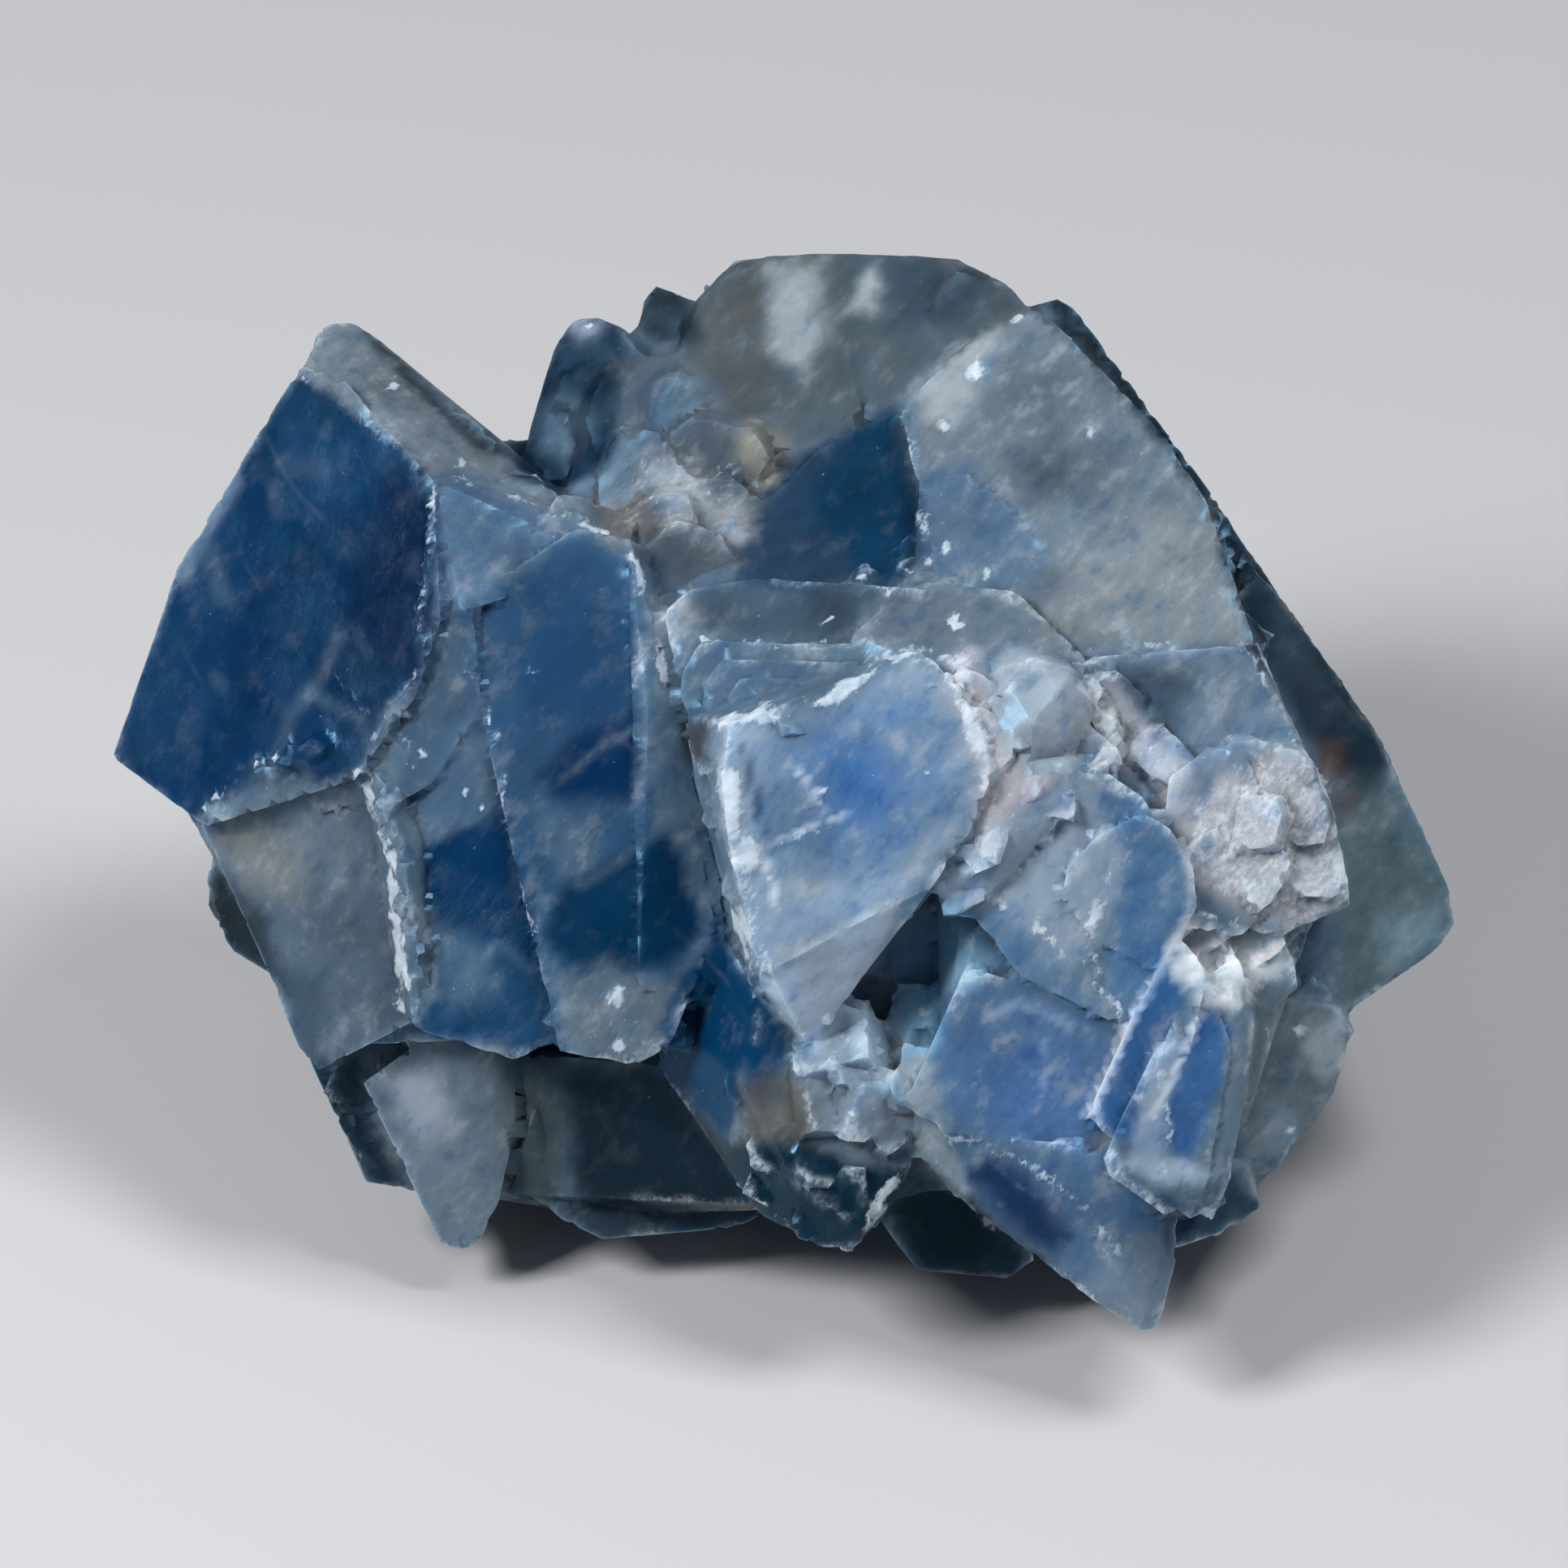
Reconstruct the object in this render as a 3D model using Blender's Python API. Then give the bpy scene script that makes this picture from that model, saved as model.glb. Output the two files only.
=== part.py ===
"""A rough lump of blue calcite, about 60 mm wide, lying on a broken cleavage face.

The lump is one solid: a mass of cleavage blocks that grew together, joined by Boolean unions.
Each block is modelled as it faces a viewer who looks down on the stone at VIEW_TILT: x runs to the
viewer's right, y up the viewer's picture and z out towards the viewer, all in millimetres. The last
step turns the joined lump so that its base lies flat and +Z is up.
"""

import itertools
import math
import random

import bmesh
import bpy
from mathutils import Euler, Matrix, Vector

MM = 0.001
VIEW_TILT = math.radians(35)
BASE_DROP = 18.7
CLEAVAGE_EDGE_ANGLE = math.radians(101.9)
WELD = 0.002
CHIP_SINK = 0.2
CHIP_TURN = 30
FLAKE_TILT = 0.24


def collection(name, parent):
    made = bpy.data.collections.new(name)
    parent.children.link(made)
    return made


def clear_scene():
    for old in list(bpy.data.objects):
        bpy.data.objects.remove(old)


def hull_object(name, points, home):
    """The convex block around some points, as an operand that isn't rendered."""
    shape = bmesh.new()
    for point in points:
        shape.verts.new(Vector(point) * MM)
    made = bmesh.ops.convex_hull(shape, input=shape.verts)
    loose = [item for item in made["geom_interior"] if isinstance(item, bmesh.types.BMVert)]
    bmesh.ops.delete(shape, geom=loose, context="VERTS")
    bmesh.ops.dissolve_limit(shape, angle_limit=math.radians(0.5), verts=shape.verts, edges=shape.edges)
    bmesh.ops.recalc_face_normals(shape, faces=shape.faces)
    mesh = bpy.data.meshes.new(name)
    shape.to_mesh(mesh)
    shape.free()
    block = bpy.data.objects.new(name, mesh)
    block.hide_render = True
    block.display_type = "WIRE"
    home.objects.link(block)
    return block


def on_plane(outline, out, slope):
    """The outline's points on a plane that stands out by `out` at the outline's middle."""
    middle_x = sum(x for x, _ in outline) / len(outline)
    middle_y = sum(y for _, y in outline) / len(outline)
    return [(x, y, out + slope[0] * (x - middle_x) + slope[1] * (y - middle_y)) for x, y in outline]


def block(home, name, outline, out, slope=(0, 0), root=-8, shrink=0.8, lean=(0, 0)):
    """A cleavage block: a flat face with this outline, and a narrower root inside the stone."""
    middle_x = sum(x for x, _ in outline) / len(outline)
    middle_y = sum(y for _, y in outline) / len(outline)
    points = on_plane(outline, out, slope)
    for x, y in outline:
        root_x = middle_x + lean[0] + shrink * (x - middle_x)
        root_y = middle_y + lean[1] + shrink * (y - middle_y)
        points.append((root_x, root_y, root))
    return hull_object(name, points, home)


def terrace(home, name, outline, out, slope, towards, shares, rise, sink=2.0):
    """Thin cleavage plates left standing on a block's face, each smaller than the one below it."""
    for step, share in enumerate(shares, start=1):
        plate = [
            (towards[0] + share * (x - towards[0]), towards[1] + share * (y - towards[1]),
             z + rise * step)
            for x, y, z in on_plane(outline, out, slope)
        ]
        below = [(x, y, z - sink) for x, y, z in plate]
        hull_object(f"{name}_{step}", [*plate, *below], home)


def rounded(home, name, centre, radii, turn=(0, 0, 0), fineness=2):
    """An ellipsoid: a shell-like bulge where it is joined, or a conchoidal scoop where it is cut away."""
    shape = bmesh.new()
    bmesh.ops.create_icosphere(shape, subdivisions=fineness, radius=1)
    points = [v.co.copy() for v in shape.verts]
    shape.free()
    rotation = Euler([math.radians(a) for a in turn]).to_matrix()
    return hull_object(
        name, [Vector(centre) + rotation @ Vector(r * c for r, c in zip(radii, p)) for p in points], home
    )


def rhomb_axes(turn):
    """The three edge directions of a calcite cleavage rhombohedron, turned by Euler angles in degrees."""
    lean_out = math.asin(math.sqrt((1 - math.cos(CLEAVAGE_EDGE_ANGLE)) / 1.5))
    rotation = Euler([math.radians(a) for a in turn]).to_matrix()
    return [
        rotation
        @ Vector(
            (
                math.sin(lean_out) * math.cos(math.radians(120 * k)),
                math.sin(lean_out) * math.sin(math.radians(120 * k)),
                math.cos(lean_out),
            )
        )
        for k in range(3)
    ]


def rhomb(home, name, centre, sides, turn):
    """A cleavage rhombohedron with these side lengths about a centre."""
    axes = rhomb_axes(turn)
    corners = [
        Vector(centre) + sum((axis * side * sign / 2 for axis, side, sign in zip(axes, sides, signs)),
                             Vector())
        for signs in itertools.product((-1, 1), repeat=3)
    ]
    return hull_object(name, corners, home)


def stand_to_view(across, away, up):
    """A point given across, away from the viewer along the table, and up from the base."""
    height = up - BASE_DROP
    towards = -away
    y = height * math.cos(VIEW_TILT) - towards * math.sin(VIEW_TILT)
    z = height * math.sin(VIEW_TILT) + towards * math.cos(VIEW_TILT)
    return (across, y, z)


def chips(home, name, route, count, sides, scatter=0.3, seed=1):
    """Small cleavage rhombohedra sunk along a route of points, each a little turned and scattered."""
    spread = random.Random(seed)
    legs = list(zip(route, route[1:]))
    for k in range(count):
        place = (k + 0.5) / count * len(legs)
        start, end = (Vector(p) for p in legs[min(int(place), len(legs) - 1)])
        centre = start.lerp(end, place % 1) + Vector([spread.uniform(-scatter,
                                                                     scatter) for _ in range(3)])
        lengths = [spread.uniform(*sides) for _ in range(3)]
        centre.z -= CHIP_SINK * sum(lengths) / 3
        rhomb(home, f"{name}_{k}", centre, lengths, [spread.uniform(-CHIP_TURN,
                                                                    CHIP_TURN) for _ in range(3)])


def flake(home, name, centre, normal, radius, spread):
    """A block whose broken flat face has six uneven corners, with a narrower root behind it."""
    side = normal.orthogonal().normalized()
    other = normal.cross(side)
    first = spread.uniform(0, math.tau)
    rim = []
    for k in range(6):
        angle = first + math.tau * (k + spread.uniform(-0.3, 0.3)) / 6
        reach = radius * spread.uniform(0.7, 1.15)
        rim.append(centre + reach * (math.cos(angle) * side + math.sin(angle) * other))
    root = [centre + 0.8 * (point - centre) - radius * normal for point in rim]
    hull_object(name, [*rim, *root], home)


def flakes(home, name, places, radius, seed, tilt=FLAKE_TILT, facing=(0, 0, 1)):
    """Tilted broken faces set side by side over a surface that looks along `facing`."""
    spread = random.Random(seed)
    for k, place in enumerate(places):
        lean = Vector([spread.uniform(-tilt, tilt) for _ in range(3)])
        normal = (Vector(facing).normalized() + lean).normalized()
        flake(home, f"{name}_{k}", Vector(place), normal, radius * spread.uniform(0.8, 1.25), spread)


def on_stand(places):
    """A list of points given in the stand frame, in the viewer's frame."""
    return [stand_to_view(*place) for place in places]


def masses(home):
    """The stone just under the faces, which leaves only shallow valleys between neighbouring blocks."""
    hull_object(
        "left_mass",
        [(-28.2, 1.5, 0.9), (-26.0, 9.6, 1.6), (-21.4, 17.0, 2.8), (-15.6, 12.4, 7.6),
         (-8.8, 10.6, 8.8), (-6.6, 10.0, 8.6), (-4.4, 2.0, 9.4), (-3.0, -5.5, 9.4), (-5.5, -10.8, 8.6),
         (-9.0, -11.2, 8.6), (-16.4, -9.6, 7.0), (-20.6, -11.6, 4.6), (-24.4, -2.8, 3.9),
         (-15.0, 4.0, 8.8), (-24, 2, -7), (-20, 12, -7), (-8, 8, -6), (-6, -8, -6), (-18, -9, -6)],
        home,
    )
    hull_object(
        "right_mass",
        [(6.4, 16.0, 3.8), (10.4, 20.4, 2.2), (17.0, 14.2, 5.2), (19.2, 7.0, 8.8), (21.0, 4.6, 9.6),
         (22.8, 0.6, 11.4), (23.8, -4.8, 11.6), (21.9, -7.6, 11.4), (20.0, -15.0, 11.0),
         (16.8, -18.0, 11.6), (9.0, -17.4, 10.6), (7.0, -14.4, 12.0), (8.6, -8.0, 12.8),
         (9.0, -3.0, 13.6), (8.6, 3.0, 13.2), (13.0, 4.2, 12.8), (17.6, -3.0, 13.8),
         (16.2, -10.0, 13.2), (9, 14, -6), (18, 6, -6), (20, -8, -5), (10, -14, -4), (6, 2, -4)],
        home,
    )
    hull_object(
        "upper_mass",
        [(-3.8, 20.2, -3.0), (8.8, 21.6, -3.0), (7.0, 15.4, 3.6), (4.0, 14.6, 3.6), (-1.8, 15.0, 1.4),
         (-6.4, 12.4, 2.8), (-7.6, 10.4, 4.4), (-3.6, 8.4, 8.2), (5.4, 8.6, 8.8), (8.6, 8.0, 9.6),
         (-10.0, 14.2, -3), (-2, 20, -12), (8, 20, -12), (2, 6, 6)],
        home,
    )
    hull_object(
        "nose_root",
        [(-4.2, 5.6, 9.4), (4.0, 6.8, 10.6), (8.4, 5.4, 12.6), (8.8, -2.0, 13.4), (6.2, -5.2, 11.8),
         (1.0, -10.8, 9.6), (-1.8, -9.4, 10.2), (-3.6, -5.0, 9.8), (-4.4, 1.0, 9.6), (0, 0, 0),
         (6, 0, 0), (1, -8, 2)],
        home,
    )
    hull_object(
        "lower_mass",
        [(-20.0, -12.0, 0.6), (-15.6, -11.6, 3.2), (-5.0, -12.0, 3.0), (0.0, -13.0, 8.4),
         (5.0, -16.0, 9.2), (8.6, -17.8, 8.8), (3.2, -18.8, 7.8), (-1.0, -18.4, 3.0),
         (-9.0, -19.2, -0.4), (-14.6, -18.2, 0.4), (-17.0, -16.6, -0.6), (-16, -12, -8), (6, -14, -6),
         (-4, -17, -6)],
        home,
    )


def left_blocks(home):
    """The deep blue slab on the left, the pale slope behind it and the pale block below it."""
    block(
        home, "blue_slab",
        [(-29.9, 1.2), (-28.2, 6.2), (-27.0, 9.7), (-24.3, 13.9), (-21.5, 18.6), (-19.6, 18.0),
         (-15.5, 13.4), (-15.2, 7.2), (-16.3, 3.9), (-19.0, 0.2), (-25.7, -1.9)],
        out=5.6, slope=(0.58, -0.13), root=-7, shrink=0.72, lean=(3, -1),
    )
    hull_object(
        "slope_band",
        [(-21.5, 18.7, 3.2), (-20.6, 20.5, 1.2), (-19.3, 20.6, 0.4), (-18.3, 20.0, 0.2),
         (-14.6, 16.4, 0.4), (-11.9, 14.6, 0.8), (-8.2, 11.7, 5.0), (-7.2, 9.8, 7.6), (-14.3, 7.6, 9.6),
         (-15.4, 13.4, 8.6), (-17.8, 16.4, 6.4), (-18, 15, -8), (-10, 9, -8), (-14, 4, -8)],
        home,
    )
    block(
        home, "step_face",
        [(-15.4, 12.0), (-14.0, 8.1), (-13.0, 3.1), (-11.3, -3.1), (-9.4, -11.2), (-12.0, -12.2),
         (-16.4, -10.8), (-17.4, -3.1), (-18.3, 0.6), (-16.3, 3.9), (-15.4, 7.2)],
        out=8.0, slope=(0.18, -0.04), root=-6,
    )
    block(
        home, "window_slab",
        [(-14.4, 7.9), (-9.2, 11.3), (-6.9, 11.0), (-6.0, 8.2), (-4.9, 2.4), (-3.6, -3.4), (-3.0, -6.4),
         (-5.0, -11.5), (-6.6, -12.4), (-8.7, -12.0), (-9.9, -11.8), (-10.4, -8.5), (-12.0, -2.0),
         (-13.4, 3.1)],
        out=9.8, slope=(0.10, -0.05), root=-4, shrink=0.85,
    )
    hull_object(
        "slab_bridge",
        [(-15.7, 13.4, 8.2), (-14.2, 11.6, 8.8), (-13.8, 8.0, 9.4), (-13.4, 3.4, 9.2),
         (-15.6, 0.0, 8.6), (-17.4, -1.0, 8.2), (-19.2, 0.2, 7.6), (-16.9, 3.7, 8.3), (-15.6, 7.0, 8.9),
         (-17, 8, -2), (-15, 2, -2)],
        home,
    )
    hull_object(
        "slab_foot",
        [(-26.0, -1.6, 3.9), (-25.4, -3.0, 3.3), (-22.4, -1.4, 5.0), (-18.4, -0.6, 7.2),
         (-18.6, 0.9, 8.1), (-22.6, 0.2, 6.1), (-24, -1, -4), (-19, 0, -2)],
        home,
    )
    hull_object(
        "slab_side",
        [(-6.9, 11.0, 9.4), (-6.2, 10.6, 8.0), (-4.7, 5.2, 9.0), (-4.4, 1.0, 9.6), (-2.8, -4.6, 10.2),
         (-2.6, -7.4, 10.4), (-3.8, -9.6, 10.2), (-6.0, 3.0, 10.2), (-6.4, -9.0, 10.6), (-7, 8, -4),
         (-5, -8, -4), (-3.4, -2, 0)],
        home,
    )
    block(
        home, "pale_block",
        [(-25.5, -2.6), (-24.4, 0.6), (-18.4, 1.8), (-17.0, -1.2), (-16.4, -4.9), (-16.2, -10.4),
         (-20.7, -12.7), (-21.3, -12.2), (-22.5, -7.8), (-24.3, -4.9)],
        out=5.6, slope=(0.42, 0.04), root=-7, shrink=0.75, lean=(2, 2),
    )
    hull_object(
        "pale_ridge",
        [(-18.6, 0.9, 7.6), (-17.9, 0.3, 8.8), (-17.0, -2.6, 9.2), (-16.3, -6.4, 9.0),
         (-16.2, -10.4, 8.2), (-17.1, -10.2, 6.6), (-17.6, -4.6, 7.0), (-15.6, -2.6, 7.4),
         (-15.4, -9.6, 7.2), (-17, -5, 2)],
        home,
    )
    block(
        home, "left_lobe",
        [(-25.8, -5.3), (-25.5, -2.9), (-24.0, -2.2), (-21.5, -5.0), (-21.6, -9.0), (-22.7, -8.6),
         (-24.7, -7.4)],
        out=1.2, slope=(0.3, 0.1), root=-9, shrink=0.9, lean=(2, 2),
    )


def lower_left_blocks(home):
    """The blurred tooth, the dark window and the dark corner below the slabs."""
    block(
        home, "dark_corner",
        [(-21.3, -12.0), (-17.4, -11.5), (-16.0, -15.8), (-16.7, -18.2), (-17.8, -17.8), (-19.7, -15.4)],
        out=1.6, slope=(0.25, 0.15), root=-8, shrink=0.9, lean=(2, 2),
    )
    block(
        home, "white_tooth",
        [(-18.7, -13.3), (-15.9, -11.2), (-11.9, -11.2), (-12.0, -15.6), (-12.7, -18.6), (-13.6, -20.4),
         (-14.4, -20.8), (-15.3, -20.5), (-17.1, -16.6)],
        out=3.2, slope=(0.05, 0.32), root=-8, shrink=0.75, lean=(1, 3),
    )
    block(
        home, "dark_window",
        [(-12.6, -11.4), (-10.1, -12.0), (-4.9, -12.0), (-2.4, -15.5), (-0.9, -17.7), (-0.7, -19.1),
         (-2.2, -19.8), (-8.1, -20.3), (-10.1, -19.3), (-12.0, -18.0)],
        out=1.8, slope=(-0.04, 0.14), root=-8, shrink=0.85, lean=(0, 3),
    )
    hull_object(
        "window_rib",
        [(-11.9, -12.4, 3.6), (-9.9, -12.6, 3.8), (-9.6, -17.6, 2.2), (-10.6, -19.0, 1.4),
         (-12.0, -17.7, 1.8), (-11.2, -14.8, 4.0), (-11, -14, -4), (-10, -17, -4)],
        home,
    )


def nose_blocks(home):
    """The frosted blue nose that stands furthest out, with the white dome and its ledges."""
    hull_object(
        "nose",
        [(-2.4, 2.6, 15.4), (-0.9, 3.2, 15.6), (2.3, 3.7, 15.8), (4.2, 5.0, 15.4), (5.8, 5.9, 14.8),
         (7.3, 4.8, 15.6), (8.7, 2.4, 16.4), (9.1, 0.3, 16.8), (8.3, -1.9, 16.8), (6.5, -4.5, 16.6),
         (3.8, -5.8, 16.4), (-0.6, -8.2, 15.6), (-1.4, -6.7, 15.8), (-2.4, -2.7, 16.0),
         (-2.7, 0.2, 15.8), (-4.3, 3.0, 12.6), (-3.9, 0.0, 12.8), (-2.3, -5.6, 13.0),
         (-1.4, -9.0, 13.2), (1.1, -11.6, 11.6), (2.6, -9.2, 12.2), (5.4, -5.4, 12.4), (-1, 2, 4),
         (6, 2, 4), (5, -3, 4), (0, -7, 4)],
        home,
    )
    rounded(home, "white_dome", (10.9, 2.7, 12.6), (3.1, 3.3, 3.9), (0, 0, -20))
    hull_object(
        "saddle",
        [(8.2, 3.6, 15.8), (9.6, 1.6, 16.0), (11.4, 0.4, 16.0), (13.6, 0.8, 15.0), (12.4, -1.2, 15.8),
         (10.2, -1.6, 16.2), (8.4, -3.4, 16.2), (6.9, -5.0, 15.4), (8.4, -6.0, 14.4), (9.2, -4.6, 15.2),
         (8, 1, 8), (11, -2, 8), (7, -4, 8)],
        home,
    )
    ledge = [(-4.6, 3.9), (-4.4, 5.2), (-3.6, 6.3), (1.2, 6.1), (3.4, 6.2), (4.4, 5.6), (2.3, 3.6),
             (-2.4, 2.7), (-4.2, 3.0)]
    block(home, "ledge", ledge, out=12.4, slope=(0.12, -0.2), root=2, shrink=0.9)
    terrace(home, "ledge_step", ledge, 12.4, (0.12, -0.2), (2.5, 0.5), (0.86, 0.72, 0.6), 0.5)
    block(
        home, "upper_ledge",
        [(-5.3, 7.6), (-4.2, 8.6), (-1.0, 9.1), (3.4, 8.8), (6.0, 8.6), (7.4, 7.4), (5.2, 5.9),
         (1.2, 6.0), (-3.5, 6.2), (-4.8, 4.8)],
        out=10.8, slope=(0.12, -0.3), root=0, shrink=0.9,
    )
    hull_object(
        "ridge_behind_nose",
        [(5.4, 8.6, 10.6), (6.6, 8.9, 10.4), (10.2, 8.5, 11.0), (12.0, 6.8, 11.8), (13.4, 5.4, 12.4),
         (9.6, 5.4, 13.8), (9.2, 4.2, 13.8), (6.2, 5.2, 13.8), (3.6, 5.6, 12.8), (3.0, 6.6, 12.4),
         (7, 8, 2), (11, 6, 2), (7, 4, 2)],
        home,
    )


def middle_blocks(home):
    """The veined block right of the nose, the frosted lower face, the fins and the tip."""
    veined = [(10.2, -1.2), (13.8, 0.8), (15.8, -0.6), (17.3, -3.2), (17.6, -6.0), (15.9, -10.0),
              (14.7, -10.6), (10.4, -8.4), (8.0, -5.4), (8.4, -3.4)]
    block(home, "veined_block", veined, out=14.9, slope=(0.04, 0.12), root=2, shrink=0.85, lean=(0, 1))
    terrace(home, "veined_step", veined, 14.9, (0.04, 0.12), (19.0, -4.4), (0.62,), 0.45)
    block(
        home, "frosted_face",
        [(8.0, -8.0), (10.4, -9.4), (14.7, -10.2), (15.9, -12.2), (14.0, -14.6), (15.5, -17.0),
         (12.2, -16.2), (7.4, -15.6), (5.3, -14.2), (6.6, -11.6)],
        out=13.4, slope=(0.06, 0.12), root=2, shrink=0.85, lean=(0, 1),
    )
    hull_object(
        "pale_post",
        [(5.2, -11.4, 11.6), (6.4, -11.6, 12.8), (6.9, -14.6, 13.0), (8.2, -16.6, 12.2),
         (8.6, -18.8, 11.2), (7.4, -18.2, 10.4), (5.6, -15.8, 10.6), (5.2, -13.4, 12.2), (6, -12, 3),
         (7, -16, 3)],
        home,
    )
    hull_object(
        "tip",
        [(7.4, -15.4, 12.6), (12.2, -15.8, 13.6), (15.5, -16.8, 13.8), (17.3, -18.2, 12.6),
         (17.4, -20.4, 11.6), (16.7, -23.4, 11.2), (16.3, -24.1, 11.0), (15.8, -24.2, 10.8),
         (15.2, -23.8, 11.0), (11.3, -21.1, 11.0), (8.2, -18.9, 10.8), (5.4, -15.8, 10.8),
         (14.2, -20.6, 12.9), (15.7, -23.4, 11.8), (8, -14, 2), (15, -15, 2), (14, -19, 4)],
        home,
    )
    first_fin = [(17.3, -6.6), (18.6, -8.2), (17.7, -12.4), (15.6, -16.2), (14.8, -16.0), (13.3, -14.6),
                 (15.4, -10.0)]
    second_fin = [(19.9, -7.4), (20.9, -10.4), (20.4, -13.0), (19.7, -17.3), (18.8, -19.2),
                  (18.0, -18.6), (16.9, -17.7), (15.2, -16.6), (14.9, -15.6), (15.9, -13.2),
                  (18.0, -9.0)]
    block(home, "first_fin", first_fin, out=14.6, slope=(0.12, 0.06), root=2, shrink=0.8)
    block(home, "second_fin", second_fin, out=14.4, slope=(-0.28, 0.02), root=2, shrink=0.8)
    terrace(home, "second_fin_step", second_fin, 14.4, (-0.28, 0.02), (12.0, -18.4), (0.86, 0.7), 0.45)
    block(
        home, "fin_shoulder",
        [(17.6, -5.3), (21.7, -6.3), (22.8, -6.2), (22.4, -8.8), (21.0, -11.4), (20.4, -15.0),
         (19.5, -10.7), (18.0, -8.5), (17.2, -6.7)],
        out=12.8, slope=(-0.3, 0.05), root=0, shrink=0.85,
    )


def wedge_blocks(home):
    """The blue wedge below the nose, its stained shoulder and the small blocks in the hollow."""
    hull_object(
        "blue_wedge",
        [(-3.0, -6.0, 9.8), (-1.0, -9.8, 11.6), (1.2, -11.8, 11.4), (3.4, -14.0, 11.2),
         (5.7, -16.6, 10.6), (5.5, -17.8, 10.4), (4.6, -19.2, 10.2), (3.1, -20.7, 10.0),
         (1.5, -20.4, 9.6), (-1.2, -18.9, 8.6), (-2.5, -16.3, 8.0), (-3.9, -14.0, 7.4),
         (-5.6, -12.4, 6.8), (-4.9, -10.4, 8.2), (-1.8, -13.4, 11.4), (0.6, -17.6, 11.4),
         (3.0, -19.4, 11.0), (-3, -9, 0), (3, -14, 0), (0, -17, 0)],
        home,
    )
    rhomb(home, "hollow_block_1", (2.6, -12.0, 10.6), (3.4, 3.0, 3.0), (10, 25, 20))
    rhomb(home, "hollow_block_2", (4.0, -14.0, 10.8), (2.6, 3.6, 2.6), (-15, 20, 65))
    rhomb(home, "hollow_block_3", (6.2, -10.2, 9.0), (2.0, 2.4, 2.0), (30, 0, 15))
    rhomb(home, "hollow_block_4", (1.6, -14.6, 10.8), (2.4, 2.8, 2.4), (15, -20, 40))
    block(
        home, "under_ledge",
        [(4.2, -19.6), (5.8, -21.8), (7.8, -21.6), (10.0, -22.2), (11.3, -21.2), (10.6, -17.4),
         (5.2, -15.8), (3.6, -17.4)],
        out=4.8, slope=(0.05, 0.2), root=-6, shrink=0.8, lean=(0, 2),
    )


def upper_blocks(home):
    """The crown, the knobs, the dark cavity face and the big pale face at the upper right."""
    block(
        home, "crown",
        [(-4.2, 21.6), (-2.3, 23.6), (1.0, 23.9), (3.1, 23.9), (7.8, 23.6), (10.1, 22.4), (11.2, 21.2),
         (7.4, 19.0), (5.1, 16.4), (1.6, 14.8), (-0.6, 15.0), (-2.8, 16.6), (-4.8, 19.4)],
        out=1.2, slope=(0.02, -0.42), root=-14, shrink=0.8, lean=(1, -3),
    )
    block(
        home, "knob",
        [(-11.7, 15.2), (-11.0, 17.8), (-10.3, 19.8), (-9.5, 20.9), (-8.4, 21.1), (-7.0, 20.5),
         (-6.0, 18.8), (-7.4, 14.8), (-9.3, 13.2), (-11.2, 13.4)],
        out=0.2, slope=(0.25, -0.2), root=-9, shrink=0.8, lean=(1, -2),
    )
    block(
        home, "small_knob",
        [(-6.6, 20.4), (-6.4, 21.9), (-5.8, 22.5), (-5.0, 22.2), (-3.7, 21.6), (-3.7, 19.0),
         (-6.4, 18.4)],
        out=-1.6, slope=(0.1, -0.3), root=-10, shrink=0.85, lean=(0.5, -2),
    )
    block(
        home, "grey_shoulder",
        [(-7.6, 18.6), (-4.6, 19.4), (-2.6, 16.8), (-0.4, 14.6), (-0.6, 12.4), (-2.2, 9.9), (-4.9, 9.4),
         (-8.2, 11.6), (-9.7, 13.2)],
        out=3.2, slope=(0.12, -0.42), root=-6, shrink=0.9,
    )
    block(
        home, "lower_shoulder",
        [(-8.6, 11.2), (-6.6, 12.6), (-3.4, 12.8), (-1.6, 11.2), (-2.4, 9.4), (-4.0, 8.9), (-6.0, 9.8)],
        out=6.2, slope=(0.05, -0.5), root=-4, shrink=0.9,
    )
    block(
        home, "dark_cavity_face",
        [(-2.6, 9.8), (-0.9, 12.4), (1.6, 14.9), (4.9, 16.6), (5.7, 14.5), (6.6, 11.9), (6.6, 8.8),
         (3.1, 8.4), (-0.9, 8.6)],
        out=6.0, slope=(0.12, -0.42), root=-6, shrink=0.95,
    )
    block(
        home, "pale_face",
        [(5.2, 16.5), (7.1, 18.9), (10.0, 21.3), (11.1, 21.5), (13.7, 18.8), (16.9, 15.4), (18.7, 12.5),
         (19.6, 9.7), (20.9, 6.0), (14.0, 5.4), (11.8, 7.0), (6.9, 8.6), (6.2, 11.9)],
        out=7.6, slope=(0.0, -0.44), root=-8, shrink=0.85, lean=(0, -1),
    )
    block(
        home, "blue_lobe",
        [(6.0, 13.6), (8.2, 13.7), (10.2, 12.1), (11.5, 10.2), (11.3, 8.8), (9.0, 8.0), (7.1, 8.2),
         (5.8, 9.8)],
        out=8.8, slope=(0.05, -0.34), root=0, shrink=1.15,
    )


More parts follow.
